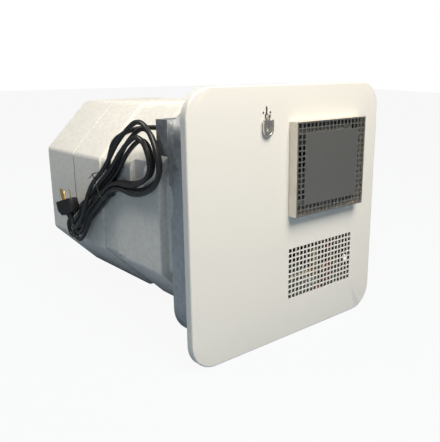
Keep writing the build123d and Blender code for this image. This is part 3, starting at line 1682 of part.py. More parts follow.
with BuildPart() as plug:
    with BuildSketch(on_plug(0)):
        Circle(cord_radius + gap)
    with BuildSketch(on_plug(boot_length)):
        Circle(boot_root)
    loft(ruled=True)
    with BuildSketch(on_plug(boot_length)):
        RectangleRounded(plug_width - plug_taper, plug_thickness - plug_taper / 2, plug_corner - gap)
    with BuildSketch(on_plug(boot_length + plug_taper)):
        RectangleRounded(plug_width, plug_thickness, plug_corner)
    loft(ruled=True)
    with BuildSketch(on_plug(boot_length + plug_taper)):
        RectangleRounded(plug_width, plug_thickness, plug_corner)
    extrude(amount=plug_length - plug_taper)
finish(plug, "plug_body")

with BuildPart() as pins:
    pin_rows = ((30, pin_lean, pin_length), (150, -pin_lean, pin_length), (270, 0, earth_length))
    for turn, lean, length in pin_rows:
        angle = math.radians(turn)
        with BuildSketch(on_plug(plug_face)):
            with Locations((pin_circle * math.cos(angle), pin_circle * math.sin(angle))):
                Rectangle(pin_thickness, pin_width, rotation=lean)
        extrude(amount=length)
finish(pins, "plug_pins")

# Wire tie round the waist of the hank, with its twisted ends
tie_wire = 1.2
tie_corner = 3.6
tie_low_lane = -1.5
tie_high_lane = 2.5
tie_end_lengths = (24.0, 15.0)
square_turn = 90.0
tie_low = tie_low_lane * hank_lane - cord_radius - gap
tie_high = tie_high_lane * hank_lane + cord_radius + gap
tie_inner = hank_x + cord_radius + gap
tie_outer = hank_x - 2 * hank_layer - cord_radius - gap
tie_middle = (tie_low + tie_high) / 2
tie_end = on_hank(waist_lie, 0, (tie_high + tie_wire) / hank_lane, 2)

with BuildPart() as tie:
    middle = on_hank(waist_lie, 0, tie_middle / hank_lane, 0)
    origin = Vector((tie_inner + tie_outer) / 2, middle.Y, middle.Z)
    with BuildSketch(Plane(origin=origin, x_dir=(1, 0, 0), z_dir=heading(waist_lie, 1))):
        across = tie_inner - tie_outer
        upwards = tie_high - tie_low
        RectangleRounded(across + 2 * tie_wire, upwards + 2 * tie_wire, tie_corner + tie_wire)
        RectangleRounded(across, upwards, tie_corner, mode=Mode.SUBTRACT)
    extrude(amount=tie_wire)
    for lift, length in zip((0, 2 * tie_wire), tie_end_lengths):
        start = tie_end + heading(waist_lie, tie_wire / 2)
        end = start + heading(waist_lie + square_turn, lift + tie_wire) + heading(waist_lie, length)
        with BuildLine() as wire:
            Line(start, end)
        with BuildSketch(Plane(origin=wire.line @ 0, z_dir=wire.line % 0)):
            Circle(tie_wire / 2)
        sweep()
finish(tie, "cord_tie")

# Leads inside the pan
ignition_radius = 2.5
ignition_points = [
    (flue_x, ceramic_front, flue_low + electrode_rise),
    (flue_x, 4.0, flue_low + electrode_rise),
    (84.0, 0.0, -54.0),
    (97.0, 0.0, -70.0),
    (101.0, 3.0, -95.0),
    (95.0, 6.0, -120.0),
    (70.0, 8.0, -135.0),
    (30.0, 8.0, -137.0),
    (-20.0, 8.0, -136.0),
    (-70.0, 10.0, -135.0),
    (-100.0, 22.0, -126.0),
    (-114.0, 34.0, -105.0),
    (-114.5, 38.0, -65.0),
    (-114.0, 40.0, module_low),
]
tube("ignition_lead", ignition_points, ignition_radius)

loom_radius = 2.6
loom_points = [
    (module_x + module_plug_width / 2, module_front - module_plug_depth / 2, module_low + module_height / 4),
    (-84.0, module_front - module_plug_depth / 2, module_low + module_height / 4),
    (-70.0, 24.0, 0.0),
    (-57.0, 16.0, -14.0),
    (valve_x - coil_spread / 2, valve_y, -34.0),
    (valve_x - coil_spread / 2, valve_y, valve_top + coil_height + coil_core_rise),
]
tube("wiring_loom", loom_points, loom_radius)
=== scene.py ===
import json
import math
import bmesh
import bpy
from mathutils import Matrix, Vector

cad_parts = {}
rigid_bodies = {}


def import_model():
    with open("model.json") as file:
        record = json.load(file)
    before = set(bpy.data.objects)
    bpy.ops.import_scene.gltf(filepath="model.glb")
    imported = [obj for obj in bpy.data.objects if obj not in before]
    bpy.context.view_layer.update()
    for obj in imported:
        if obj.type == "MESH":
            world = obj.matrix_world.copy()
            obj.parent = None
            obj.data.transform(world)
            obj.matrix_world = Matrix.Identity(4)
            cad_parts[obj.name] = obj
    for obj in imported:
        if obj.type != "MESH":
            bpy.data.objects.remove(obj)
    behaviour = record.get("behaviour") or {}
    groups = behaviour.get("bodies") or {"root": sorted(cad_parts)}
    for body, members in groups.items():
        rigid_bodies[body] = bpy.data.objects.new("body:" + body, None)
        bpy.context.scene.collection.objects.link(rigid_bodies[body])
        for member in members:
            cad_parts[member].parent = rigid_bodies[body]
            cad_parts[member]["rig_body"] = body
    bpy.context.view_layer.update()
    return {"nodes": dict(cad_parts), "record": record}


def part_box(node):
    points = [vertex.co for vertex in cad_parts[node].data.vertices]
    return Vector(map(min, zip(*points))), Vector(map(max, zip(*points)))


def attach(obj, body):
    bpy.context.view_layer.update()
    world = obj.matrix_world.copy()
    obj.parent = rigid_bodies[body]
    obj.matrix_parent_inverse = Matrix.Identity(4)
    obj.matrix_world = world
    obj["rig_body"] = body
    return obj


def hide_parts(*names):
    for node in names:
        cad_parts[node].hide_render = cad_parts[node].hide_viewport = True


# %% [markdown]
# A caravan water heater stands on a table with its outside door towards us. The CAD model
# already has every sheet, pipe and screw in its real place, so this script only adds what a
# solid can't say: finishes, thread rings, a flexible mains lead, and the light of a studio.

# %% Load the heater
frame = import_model()
nodes = frame["nodes"]
node_slots = {row["node"]: row["material_slot"] for row in frame["record"]["subparts"]}

# %% [markdown]
# The camera stands to the left of the door and looks a little down on it. Its place and the
# directions to its right and forward were worked out from the door's perspective. The focal
# length in pixels gives the lens, because the picture is 440 pixels wide and a sensor 36 mm.

# %% Camera
picture_width = 440
focal_pixels = 557.694
sensor_width = 36.0
nearest_seen = 0.01
camera_place = Vector((-0.57859, -0.55834, 0.20481))
camera_right = Vector((0.776, -0.6305, -0.015)).normalized()
camera_forward = Vector((0.6074, 0.7536, -0.2514)).normalized()
camera_up = camera_right.cross(camera_forward).normalized()

lens = bpy.data.cameras.new("camera")
lens.sensor_width = sensor_width
lens.lens = focal_pixels * sensor_width / picture_width
lens.clip_start = nearest_seen
camera = bpy.data.objects.new("camera", lens)
turned = Matrix((camera_right, camera_up, -camera_forward)).transposed()
camera.matrix_world = Matrix.Translation(camera_place) @ turned.to_4x4()
bpy.context.scene.collection.objects.link(camera)
bpy.context.scene.camera = camera
bpy.context.scene.view_settings.view_transform = "Standard"
print("lens:", round(lens.lens, 2), "mm")

# %% [markdown]
# Every finish starts the same way: a Principled shader, whose constant values sit on its own
# sockets, and Object coordinates that stay on the piece when it moves. Two patterns then give
# what no real surface is without, which is some unevenness: noise for what wanders, such as
# dust and stains, and cells for what has grains or beads with edges.

# %% Shader and patterns
def new_finish(name, colour, roughness, metallic=0.0):
    """A material with a Principled shader, and the nodes that other helpers join to."""
    material = bpy.data.materials.new(name)
    material.use_nodes = True
    tree = material.node_tree
    shader = tree.nodes["Principled BSDF"]
    shader.inputs["Base Color"].default_value = (*colour, 1)
    shader.inputs["Roughness"].default_value = roughness
    shader.inputs["Metallic"].default_value = metallic
    place = tree.nodes.new("ShaderNodeTexCoord")
    return material, tree, shader, place.outputs["Object"]


def noise(tree, place, scale, detail=3.0):
    """A noise pattern on a piece, with a scale in waves to the metre."""
    pattern = tree.nodes.new("ShaderNodeTexNoise")
    pattern.inputs["Scale"].default_value = scale
    pattern.inputs["Detail"].default_value = detail
    tree.links.new(place, pattern.inputs["Vector"])
    return pattern.outputs["Fac"]


def cells(tree, place, size, feature="F1"):
    """A pattern of irregular cells, with a size in metres."""
    pattern = tree.nodes.new("ShaderNodeTexVoronoi")
    pattern.feature = feature
    pattern.inputs["Scale"].default_value = 1 / size
    tree.links.new(place, pattern.inputs["Vector"])
    return pattern.outputs


print("pattern helpers: noise and cells")

# %% [markdown]
# A pattern runs from 0 to 1. These helpers turn it into a colour, a roughness or a height, and
# join it to the shader. A stain lays a second colour over the first where the pattern is high.

# %% Colour, roughness and relief
def shade(colour, share, lift=0.0):
    """A colour made brighter or darker by a share, and never above white."""
    return tuple(min(part * share + lift, 1) for part in colour)


def ramp(tree, pattern, low, high, start, end):
    """Turns a pattern into a colour between two others."""
    band = tree.nodes.new("ShaderNodeValToRGB")
    band.color_ramp.elements[0].position = start
    band.color_ramp.elements[1].position = end
    band.color_ramp.elements[0].color = (*low, 1)
    band.color_ramp.elements[1].color = (*high, 1)
    tree.links.new(pattern, band.inputs["Fac"])
    return band.outputs["Color"]


def span(tree, pattern, low, high):
    """Turns a pattern into a number between two others."""
    limits = tree.nodes.new("ShaderNodeMapRange")
    limits.inputs["To Min"].default_value = low
    limits.inputs["To Max"].default_value = high
    tree.links.new(pattern, limits.inputs["Value"])
    return limits.outputs["Result"]


def roughen(tree, shader, pattern, low, high):
    """Lets a pattern carry the roughness between two values."""
    tree.links.new(span(tree, pattern, low, high), shader.inputs["Roughness"])


def blend_colour(tree, shader, share, other):
    """Mixes a second colour over the first by a share."""
    mix = tree.nodes.new("ShaderNodeMix")
    mix.data_type = "RGBA"
    tree.links.new(share, mix.inputs["Factor"])
    before = shader.inputs["Base Color"].links
    if before:
        tree.links.new(before[0].from_socket, mix.inputs["A"])
    else:
        mix.inputs["A"].default_value = shader.inputs["Base Color"].default_value
    mix.inputs["B"].default_value = (*other, 1)
    tree.links.new(mix.outputs["Result"], shader.inputs["Base Color"])


def stain(tree, shader, pattern, most, other):
    """Lets a pattern lay a second colour over the first, up to a share."""
    blend_colour(tree, shader, span(tree, pattern, 0.0, most), other)


def relief(tree, shader, pattern, strength, depth):
    """Raises a pattern above the surface by a depth in metres."""
    bump = tree.nodes.new("ShaderNodeBump")
    bump.inputs["Strength"].default_value = strength
    bump.inputs["Distance"].default_value = depth
    tree.links.new(pattern, bump.inputs["Height"])
    earlier = shader.inputs["Normal"].links
    if earlier:
        tree.links.new(earlier[0].from_socket, bump.inputs["Normal"])
    tree.links.new(bump.outputs["Normal"], shader.inputs["Normal"])


print("surface helpers: ramp, roughen, stain and relief")

# %% [markdown]
# Expanded polystyrene is thousands of beads of about 4 mm pressed together. Cells of a Voronoi
# pattern are such beads: the distance to a cell's edge makes the fine valleys between them, and
# each cell's own number makes some beads a little darker. A broad noise adds handling marks.

# %% Foam
bead_size = 0.0042
foam_grey = (0.82, 0.81, 0.77)
bead_dark = (0.74, 0.73, 0.69)
bead_pale = (0.88, 0.87, 0.83)
handling_mark = (0.66, 0.64, 0.59)


def foam_finish():
    """Moulded polystyrene in a warm grey."""
    material, tree, shader, place = new_finish("foam_beads", foam_grey, roughness=0.82)
    valley = cells(tree, place, bead_size, "DISTANCE_TO_EDGE")["Distance"]
    bead = cells(tree, place, bead_size)["Color"]
    bead_colour = ramp(tree, bead, bead_dark, bead_pale, start=0.0, end=1.0)
    tree.links.new(bead_colour, shader.inputs["Base Color"])
    stain(tree, shader, noise(tree, place, scale=9.0), most=0.35, other=handling_mark)
    relief(tree, shader, valley, strength=0.55, depth=0.0006)
    relief(tree, shader, noise(tree, place, scale=900.0), strength=0.25, depth=0.0002)
    return material


print("bead size:", bead_size * 1000, "mm")

# %% [markdown]
# Zinc freezes on a galvanised sheet in flat crystals a few millimetres wide, which reflect a
# little differently from one to the next. A Voronoi pattern again gives the crystals, here in
# colour and roughness. Plain steel, cast zinc, copper and brass need only a fine grain and some
# dulling.

# %% Metals
crystal_size = 0.0065


def galvanised_finish(name, colour):
    """Zinc-coated sheet with its crystals."""
    material, tree, shader, place = new_finish(name, colour, roughness=0.42, metallic=0.85)
    crystal = cells(tree, place, crystal_size)["Color"]
    zinc = ramp(tree, crystal, shade(colour, 0.84), shade(colour, 1.12), start=0.1, end=0.9)
    tree.links.new(zinc, shader.inputs["Base Color"])
    stain(tree, shader, noise(tree, place, scale=22.0), most=0.35, other=shade(colour, 0.7))
    roughen(tree, shader, crystal, low=0.32, high=0.52)
    relief(tree, shader, noise(tree, place, scale=260.0), strength=0.15, depth=0.0001)
    return material


def metal_finish(name, colour, roughness, grain=1400.0, dulling=0.25):
    """Bare metal with a fine grain and some dulling."""
    material, tree, shader, place = new_finish(name, colour, roughness, metallic=1.0)
    grains = noise(tree, place, grain, detail=2.0)
    roughen(tree, shader, grains, low=roughness * 0.75, high=min(roughness * 1.35, 1))
    stain(tree, shader, noise(tree, place, scale=38.0), most=dulling, other=shade(colour, 0.55))
    relief(tree, shader, grains, strength=0.12, depth=0.00008)
    return material


print("crystal size:", crystal_size * 1000, "mm")

# %% [markdown]
# The door is sprayed: a smooth coat over steel with a very slight orange peel, warm and pale.
# The coat is a clear layer on the shader's own sockets, and the peel a relief of 0.06 mm.

# %% Paint
coat_weight = 0.25
coat_roughness = 0.18


def paint_finish(name, colour, roughness=0.36):
    """Sprayed enamel with a faint orange peel."""
    material, tree, shader, place = new_finish(name, colour, roughness)
    shader.inputs["Coat Weight"].default_value = coat_weight
    shader.inputs["Coat Roughness"].default_value = coat_roughness
    patches = noise(tree, place, scale=14.0)
    roughen(tree, shader, patches, low=roughness * 0.9, high=roughness * 1.2)
    dust = noise(tree, place, scale=7.0, detail=5.0)
    stain(tree, shader, dust, most=0.22, other=shade(colour, 0.9))
    peel = noise(tree, place, scale=620.0, detail=1.0)
    relief(tree, shader, peel, strength=0.08, depth=0.00006)
    return material


print("coat weight:", coat_weight)

# %% [markdown]
# The cage over the exhaust is bare steel that the heat has browned on its punched front. Its side
# walls get painted light: a paler steel that stands for the light falling on them. One material
# can say both, because the direction that a face points tells a wall from the front. That
# direction is the room's own, not the piece's, so the two tones are right while the door is shut,
# and change places on the cage of an open door.

# %% The exhaust cage's steel
browned_steel = (0.235, 0.24, 0.235)
# painted light: the walls' paler steel stands for the light falling on them
painted_light_wall_steel = (0.88, 0.83, 0.75)
soot = (0.22, 0.19, 0.16)
wall_limit = 0.5


def painted_light_walls_mask(tree):
    """1 on faces that point sideways, up or down, which get painted light, and 0 on those that
    point to or from us.
    """
    facing = tree.nodes.new("ShaderNodeNewGeometry")
    parts = tree.nodes.new("ShaderNodeSeparateXYZ")
    tree.links.new(facing.outputs["True Normal"], parts.inputs["Vector"])
    depthwise = tree.nodes.new("ShaderNodeMath")
    depthwise.operation = "ABSOLUTE"
    tree.links.new(parts.outputs["Y"], depthwise.inputs[0])
    wall = tree.nodes.new("ShaderNodeMath")
    wall.operation = "LESS_THAN"
    wall.inputs[1].default_value = wall_limit
    tree.links.new(depthwise.outputs["Value"], wall.inputs[0])
    return wall.outputs["Value"]


def cage_finish():
    """Heat-browned steel on the front, and painted light that makes the walls paler."""
    material, tree, shader, place = new_finish(
        "cage_browned_steel", browned_steel, roughness=0.42, metallic=0.7
    )
    # painted light: faces that point sideways, up or down are lifted to a paler steel, as if lit
    blend_colour(tree, shader, painted_light_walls_mask(tree), painted_light_wall_steel)
    stain(tree, shader, noise(tree, place, scale=42.0, detail=4.0), most=0.4, other=soot)
    roughen(tree, shader, noise(tree, place, scale=500.0), low=0.36, high=0.55)
    grains = noise(tree, place, scale=1500.0, detail=2.0)
    relief(tree, shader, grains, strength=0.12, depth=0.00008)
    return material


print("a wall of the cage has a depthwise normal under", wall_limit)

# %% [markdown]
# Plastics and rubbers differ mainly in how they scatter light: a moulded plastic has a fine
# satin texture, rubber is duller with a trace of dust in its pores.

# %% Plastics, rubber and ceramic
mould_grain = 900.0


def moulded_finish(name, colour, roughness, grain=mould_grain, depth=0.00006):
    """Plastic, rubber or ceramic with the fine texture of its mould."""
    material, tree, shader, place = new_finish(name, colour, roughness)
    texture = noise(tree, place, grain, detail=2.0)
    roughen(tree, shader, texture, low=roughness * 0.85, high=min(roughness * 1.2, 1))
    dust = noise(tree, place, scale=30.0, detail=4.0)
    stain(tree, shader, dust, most=0.3, other=shade(colour, 1.25, lift=0.015))
    relief(tree, shader, texture, strength=0.15, depth=depth)
    return material


print("mould grain:", round(1000 / mould_grain, 1), "mm")

# %% [markdown]
# The record lists a slot for every finish. Each slot gets one material here, so that a piece
# only has to look up its slot.

# %% One material for each slot
finishes = {
    "foam": foam_finish(),
    "enamelled_steel": paint_finish("tank_enamel", (0.05, 0.06, 0.09), roughness=0.4),
    "flue_steel": metal_finish("flue_browned_steel", (0.30, 0.27, 0.24), roughness=0.5),
    "galvanised_steel": galvanised_finish("galvanised_sheet", (0.52, 0.54, 0.56)),
    "cream_paint": paint_finish("cream_enamel", (0.80, 0.785, 0.74)),
    "frame_paint": paint_finish("flange_enamel", (0.74, 0.72, 0.68)),
    "cage_steel": cage_finish(),
    "bright_steel": metal_finish("bright_steel", (0.66, 0.66, 0.67), roughness=0.24),
    "cast_zinc": metal_finish(
        "cast_zinc", (0.80, 0.76, 0.69), roughness=0.4, grain=700.0, dulling=0.3
    ),
    "gasket_fibre": moulded_finish(
        "gasket_fibre", (0.62, 0.60, 0.53), roughness=0.9, grain=1200.0, depth=0.0003
    ),
    "burner_steel": metal_finish("burner_steel", (0.62, 0.57, 0.47), roughness=0.36),
    "brass": metal_finish("brass", (0.74, 0.56, 0.26), roughness=0.3),
    "ceramic": moulded_finish("white_ceramic", (0.82, 0.80, 0.75), roughness=0.25),
    "coil_resin": moulded_finish("coil_resin", (0.035, 0.035, 0.04), roughness=0.45),
    "valve_alloy": metal_finish("valve_alloy", (0.70, 0.66, 0.58), roughness=0.45, grain=800.0),
    "copper": metal_finish("copper_pipe", (0.76, 0.42, 0.27), roughness=0.34, dulling=0.4),
    "black_rubber": moulded_finish("grommet_rubber", (0.022, 0.022, 0.022), roughness=0.7),
    "module_plastic": moulded_finish("module_plastic", (0.05, 0.055, 0.065), roughness=0.5),
    "red_plastic": moulded_finish("red_button", (0.50, 0.02, 0.015), roughness=0.35),
    "black_plastic": moulded_finish("black_plastic", (0.016, 0.016, 0.018), roughness=0.34),
    "grey_plastic": moulded_finish("grey_plastic", (0.35, 0.36, 0.37), roughness=0.5),
    "magnesium": metal_finish("magnesium_rod", (0.50, 0.51, 0.52), roughness=0.5, grain=500.0),
    "dark_red_silicone": moulded_finish("dark_red_silicone", (0.26, 0.022, 0.018), roughness=0.4),
    "wire_harness": moulded_finish("harness_sleeve", (0.045, 0.03, 0.03), roughness=0.55),
    "cord_rubber": moulded_finish("lead_sheath", (0.020, 0.020, 0.020), roughness=0.32),
    "tie_wire": moulded_finish("tie_sheath", (0.02, 0.02, 0.022), roughness=0.4),
}
print("finishes:", len(finishes))

# %% [markdown]
# A CAD piece comes in as loose triangles, so a round shape shows its facets. Round pieces are
# copied, their doubled points are merged, and faces that meet at a small angle are shaded as
# one. The copy stands for the CAD piece. Flat pieces stay as they are and only take the finish.

# %% Dress the CAD pieces
crease = math.radians(32)
merge_distance = 1e-6
flat_nodes = {
    "wall_frame", "keyhole_stiffener", "hinge_brackets", "latch_bracket", "exhaust_duct",
    "exhaust_gasket", "burner_bracket", "valve_bracket", "thermostat_plate", "switch_bracket",
    "junction_box", "junction_box_cover", "water_tank", "galvanised_casing", "burner_panel",
}
cord_nodes = {"power_lead", "power_lead_hank"}


def smooth_mesh(name, mesh_source):
    """A merged copy of a CAD mesh, shaded smooth up to the crease angle."""
    work = bmesh.new()
    work.from_mesh(mesh_source)
    bmesh.ops.remove_doubles(work, verts=work.verts, dist=merge_distance)
    for face in work.faces:
        face.smooth = True
    for edge in work.edges:
        edge.smooth = len(edge.link_faces) == 2 and edge.calc_face_angle(math.pi) < crease
    mesh = bpy.data.meshes.new(name)
    work.to_mesh(mesh)
    work.free()
    return mesh


def dress(node):
    """Gives a CAD piece its finish, on a smooth copy where it is round."""
    slot = node_slots[node]
    if node in flat_nodes:
        nodes[node].data.materials.clear()
        nodes[node].data.materials.append(finishes[slot])
        return
    mesh = smooth_mesh("smooth_" + node, nodes[node].data)
    mesh.materials.clear()
    mesh.materials.append(finishes[slot])
    piece = bpy.data.objects.new("dressed_" + node, mesh)
    bpy.context.scene.collection.objects.link(piece)
    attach(piece, nodes[node]["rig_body"])
    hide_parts(node)


for node in sorted(nodes):
    if node not in cord_nodes:
        dress(node)
print("dressed:", len(nodes) - len(cord_nodes), "of them flat:", len(flat_nodes))

# %% [markdown]
# The water connections and the gas flare are threaded. A thread reads as even rings along a
# short barrel, so Geometry Nodes make one ring and repeat it along the axis. Count, pitch,
# radius and ridge are named inputs, which each thread sets for itself.

# %% A ring repeated along an axis
ring_sides = 40
ridge_sides = 6


def ring_tree():
    """Geometry nodes that repeat a ring along Z."""
    tree = bpy.data.node_groups.new("thread_rings", "GeometryNodeTree")
    made = {}
    for label, kind in (
        ("Count", "NodeSocketInt"),
        ("Pitch", "NodeSocketFloat"),
        ("Radius", "NodeSocketFloat"),
        ("Ridge", "NodeSocketFloat"),
        ("Finish", "NodeSocketMaterial"),
    ):
        made[label] = tree.interface.new_socket(name=label, in_out="INPUT", socket_type=kind)
    tree.interface.new_socket(name="Geometry", in_out="OUTPUT", socket_type="NodeSocketGeometry")
    given = tree.nodes.new("NodeGroupInput")
    result = tree.nodes.new("NodeGroupOutput")
    circle = tree.nodes.new("GeometryNodeCurvePrimitiveCircle")
    circle.inputs["Resolution"].default_value = ring_sides
    profile = tree.nodes.new("GeometryNodeCurvePrimitiveCircle")
    profile.inputs["Resolution"].default_value = ridge_sides
    ring = tree.nodes.new("GeometryNodeCurveToMesh")
    places = tree.nodes.new("GeometryNodeMeshLine")
    offset = tree.nodes.new("ShaderNodeCombineXYZ")
    repeat = tree.nodes.new("GeometryNodeInstanceOnPoints")
    real = tree.nodes.new("GeometryNodeRealizeInstances")
    paint = tree.nodes.new("GeometryNodeSetMaterial")
    for start, end in (
        (given.outputs["Radius"], circle.inputs["Radius"]),
        (given.outputs["Ridge"], profile.inputs["Radius"]),
        (circle.outputs["Curve"], ring.inputs["Curve"]),
        (profile.outputs["Curve"], ring.inputs["Profile Curve"]),
        (given.outputs["Count"], places.inputs["Count"]),
        (given.outputs["Pitch"], offset.inputs["Z"]),
        (offset.outputs["Vector"], places.inputs["Offset"]),
        (places.outputs["Mesh"], repeat.inputs["Points"]),
        (ring.outputs["Mesh"], repeat.inputs["Instance"]),
        (repeat.outputs["Instances"], real.inputs["Geometry"]),
        (real.outputs["Geometry"], paint.inputs["Geometry"]),
        (given.outputs["Finish"], paint.inputs["Material"]),
        (paint.outputs["Geometry"], result.inputs["Geometry"]),
    ):
        tree.links.new(start, end)
    return tree, {label: socket.identifier for label, socket in made.items()}


rings, ring_inputs = ring_tree()
print("ring inputs:", sorted(ring_inputs))

# %% [markdown]
# The CAD model has plain cylinders at the major diameter, so a ring's middle lies half a ridge
# inside that. The tree makes its rings at the origin along Z. The result becomes a plain mesh,
# which is turned and moved to its barrel and rides on the heater.

# %% One thread
thread_ridge = 0.0005


def thread(name, start, along, radius, length, pitch, slot):
    """Thread rings from a place, along a direction, over a length."""
    holder = bpy.data.objects.new(name + "_maker", bpy.data.meshes.new(name + "_maker"))
    bpy.context.scene.collection.objects.link(holder)
    modifier = holder.modifiers.new("rings", "NODES")
    modifier.node_group = rings
    modifier[ring_inputs["Count"]] = int(length / pitch)
    modifier[ring_inputs["Pitch"]] = pitch
    modifier[ring_inputs["Radius"]] = radius - thread_ridge / 2
    modifier[ring_inputs["Ridge"]] = thread_ridge
    modifier[ring_inputs["Finish"]] = finishes[slot]
    made = holder.evaluated_get(bpy.context.evaluated_depsgraph_get())
    mesh = bpy.data.meshes.new_from_object(made)
    bpy.data.objects.remove(holder)
    turn = Vector((0, 0, 1)).rotation_difference(along).to_matrix().to_4x4()
    mesh.transform(Matrix.Translation(start) @ turn)
    work = bmesh.new()
    work.from_mesh(mesh)
    bmesh.ops.recalc_face_normals(work, faces=work.faces)
    for face in work.faces:
        face.smooth = True
    work.to_mesh(mesh)
    work.free()
    piece = bpy.data.objects.new(name, mesh)
    bpy.context.scene.collection.objects.link(piece)
    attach(piece, "heater")
    return len(mesh.polygons)


print("ridge:", thread_ridge * 1000, "mm")

# %% [markdown]
# The two water threads lie at the mounts that the record states, with the mount's own radius
# and length. The gas flare is inside the burner bay and has no mount, so its place is given
# here. A barrel is threaded over four fifths of its length, up to its tip.

# %% Threads on the water connections and the gas flare
water_pitch = 0.00181
gas_pitch = 0.00141
threaded_share = 0.8
flare_tip = Vector((0.137, 0.020, -0.100))
flare_way = Vector((1, 0, 0))
flare_radius = 0.00794
flare_length = 0.013

thread_rows = [("gas_flare", flare_tip, flare_way, flare_radius, flare_length, gas_pitch)]
for mount in frame["record"]["mounts"]:
    if mount["kind"] == "pin":
        tip, along = Vector(mount["pos_m"]), Vector(mount["axis"])
        radius, length = mount["dims"]["r_mm"] / 1000, mount["dims"]["length_mm"] / 1000
        thread_rows.append((mount["name"], tip, along, radius, length, water_pitch))
for name, tip, along, radius, length, pitch in thread_rows:
    threaded = length * threaded_share
    start = tip - along * (threaded + 2 * thread_ridge)
    faces = thread("thread_" + name, start, along, radius, threaded, pitch, "brass")
    print(name, "faces:", faces)

# %% [markdown]
# The mains lead leaves the gland on the junction box, bends down over the foam and runs into a
# hank: four long turns folded flat and pinched at the waist by a wire tie. Its last run turns
# up into the plug. The lead is one smooth spline whose control points are the route's own
# corners. The first stretch is a given list; the hank's turns come from a loop.

# %% Route of the first stretch
sheath_radius = 0.0036
gland_exit = (-0.150, 0.103, 0.1355)
lead_route = [
    gland_exit,
    (-0.150, 0.119, 0.1355),
    (-0.153, 0.141, 0.134),
    (-0.160, 0.164, 0.130),
    (-0.1655, 0.188, 0.121),
    (-0.1676, 0.2074, 0.1102),
]
print("first stretch points:", len(lead_route))

# %% [markdown]
# The spare lead hangs beside the foam and slopes down to the rear. A place on the hank is read
# from its waist: how far along, in which lane across and in which layer outwards. The part
# above the waist, the waist and the part below it each lie at their own angle. The numbers are
# those of the CAD model, in metres, so that the drawn lead lies where the CAD lead lies.

# %% Places on the hank
hank_x = -0.1676
waist_y = 0.226
waist_z = 0.039
lane_pitch = 0.0081
layer_pitch = 0.009
upper_lie = -27.0
waist_lie = -31.0
lower_lie = -35.0


def on_hank(lie, along, lane, layer):
    """A place reached from the waist along a line that lies at an angle, then across it."""
    turn = math.radians(lie)
    across = lane * lane_pitch
    return Vector((
        hank_x - layer * layer_pitch,
        waist_y + along * math.cos(turn) - across * math.sin(turn),
        waist_z + along * math.sin(turn) + across * math.cos(turn),
    ))


def heading(lie, way):
    """The direction of a line that lies at an angle, down the hank or back up it."""
    return Vector((0, math.cos(math.radians(lie)), math.sin(math.radians(lie)))) * way


print("waist:", waist_y, waist_z)

# %% [markdown]
# Each turn runs down to a narrow fold, back up through the waist, round a wider loop and down
# again. A row gives one turn: the lane and layer it comes in by, the outer and inner lane of
# its fold and how far down that lies, the lane and layer it goes back by, half the width of its
# loop and how far up that lies, and the lane and layer of the next turn. After the last turn
# the lead bends up towards the plug.

# %% Route of the hank
hank_entry = Vector((hank_x, 0.220, 0.090))
entry_way = Vector((0, 0.53, -0.848)).normalized()
lower_start = 0.060
tail_reach = 0.117
tail_lane = -2.03
tail_layer = 2.6
plug_way = Vector((0, 0.37, 0.93)).normalized()
plug_bend = 0.010
plug_run = 2 * sheath_radius
down, up = 1, -1
hank_turns = [
    ((2.5, 0), (3.19, -1.12, 0.198), (-1.5, 0), (0.040, 0.117), (1.5, 0)),
    ((1.5, 0), (1.9, 0.01, 0.172), (-0.5, 0), (0.027, 0.113), (0.5, 0)),
    ((0.5, 1), (-0.39, -2.41, 0.149), (-0.5, 1), (0.031, 0.114), (1.5, 1)),
    ((1.5, 1), (0.7, -3.66, 0.160), (-1.5, 1), (0.048, 0.119), (2.0, 2)),
]


def turn_route(came, fold, back, loop, last):
    """The places and directions of one turn of the hank."""
    outer, inner, fold_reach = fold
    half_width, loop_reach = loop
    bend_start = fold_reach - (outer - inner) * lane_pitch / 2
    side = half_width / lane_pitch
    layer = back[1]
    return [
        (on_hank(lower_lie, lower_start, *came), heading(lower_lie, down)),
        (on_hank(lower_lie, bend_start, outer, layer), heading(lower_lie, down)),
        (on_hank(lower_lie, bend_start, inner, layer), heading(lower_lie, up)),
        (on_hank(lower_lie, lower_start, *back), heading(lower_lie, up)),
        (on_hank(waist_lie, 0, *back), heading(waist_lie, up)),
        (on_hank(upper_lie, -loop_reach, -side, layer), heading(upper_lie, up)),
        (on_hank(upper_lie, -loop_reach, side, layer), heading(upper_lie, down)),
        (on_hank(waist_lie, 0, *last), heading(waist_lie, down)),
    ]


def tail_route():
    """The places and directions of the bend up to the plug."""
    tail = heading(lower_lie, down)
    bend_reach = plug_bend * math.tan(tail.angle(plug_way) / 2)
    tail_end = on_hank(lower_lie, tail_reach, tail_lane, tail_layer)
    elbow = tail_end + (tail + plug_way) * bend_reach
    return [(tail_end, tail), (elbow, plug_way), (elbow + plug_way * plug_run, plug_way)]


stations = [(hank_entry, entry_way)]
stations.append((on_hank(waist_lie, 0, *hank_turns[0][0]), heading(waist_lie, down)))
for turn in hank_turns:
    stations += turn_route(*turn)
stations += tail_route()
print("places along the hank:", len(stations))

# %% [markdown]
# Between two of these places the lead makes one bend, which has two corners: one straight on
# from the first place and one straight back from the second, both equally far. The run between
# the corners is as long as those two together. The corners are the spline's control points.

# %% Corners of the hank
straight_limit = 1e-6


def corners(start, start_way, end, end_way):
    """The two corners of a bend that leaves one place and arrives at the next."""
    gap = end - start
    both = start_way + end_way
    opening = 1 - start_way.dot(end_way)
    along = gap.dot(both)
    if opening < straight_limit:
        reach = gap.dot(gap) / (2 * along)
    else:
        reach = (math.sqrt(along**2 + 2 * opening * gap.dot(gap)) - along) / (2 * opening)
    return [start + start_way * reach, end - end_way * reach]


lead_points = [Vector(point) for point in lead_route] + [hank_entry]
for (start, start_way), (end, end_way) in zip(stations, stations[1:]):
    lead_points += corners(start, start_way, end, end_way)
lead_points.append(stations[-1][0])
print("spline control points:", len(lead_points))

# %% [markdown]
# The whole lead is one tube along one smooth spline. The order of the spline is set after its
# points, because set before, it falls back to straight runs. A bare line with no thickness
# gives the points that Blender draws, and so the lead's true length.

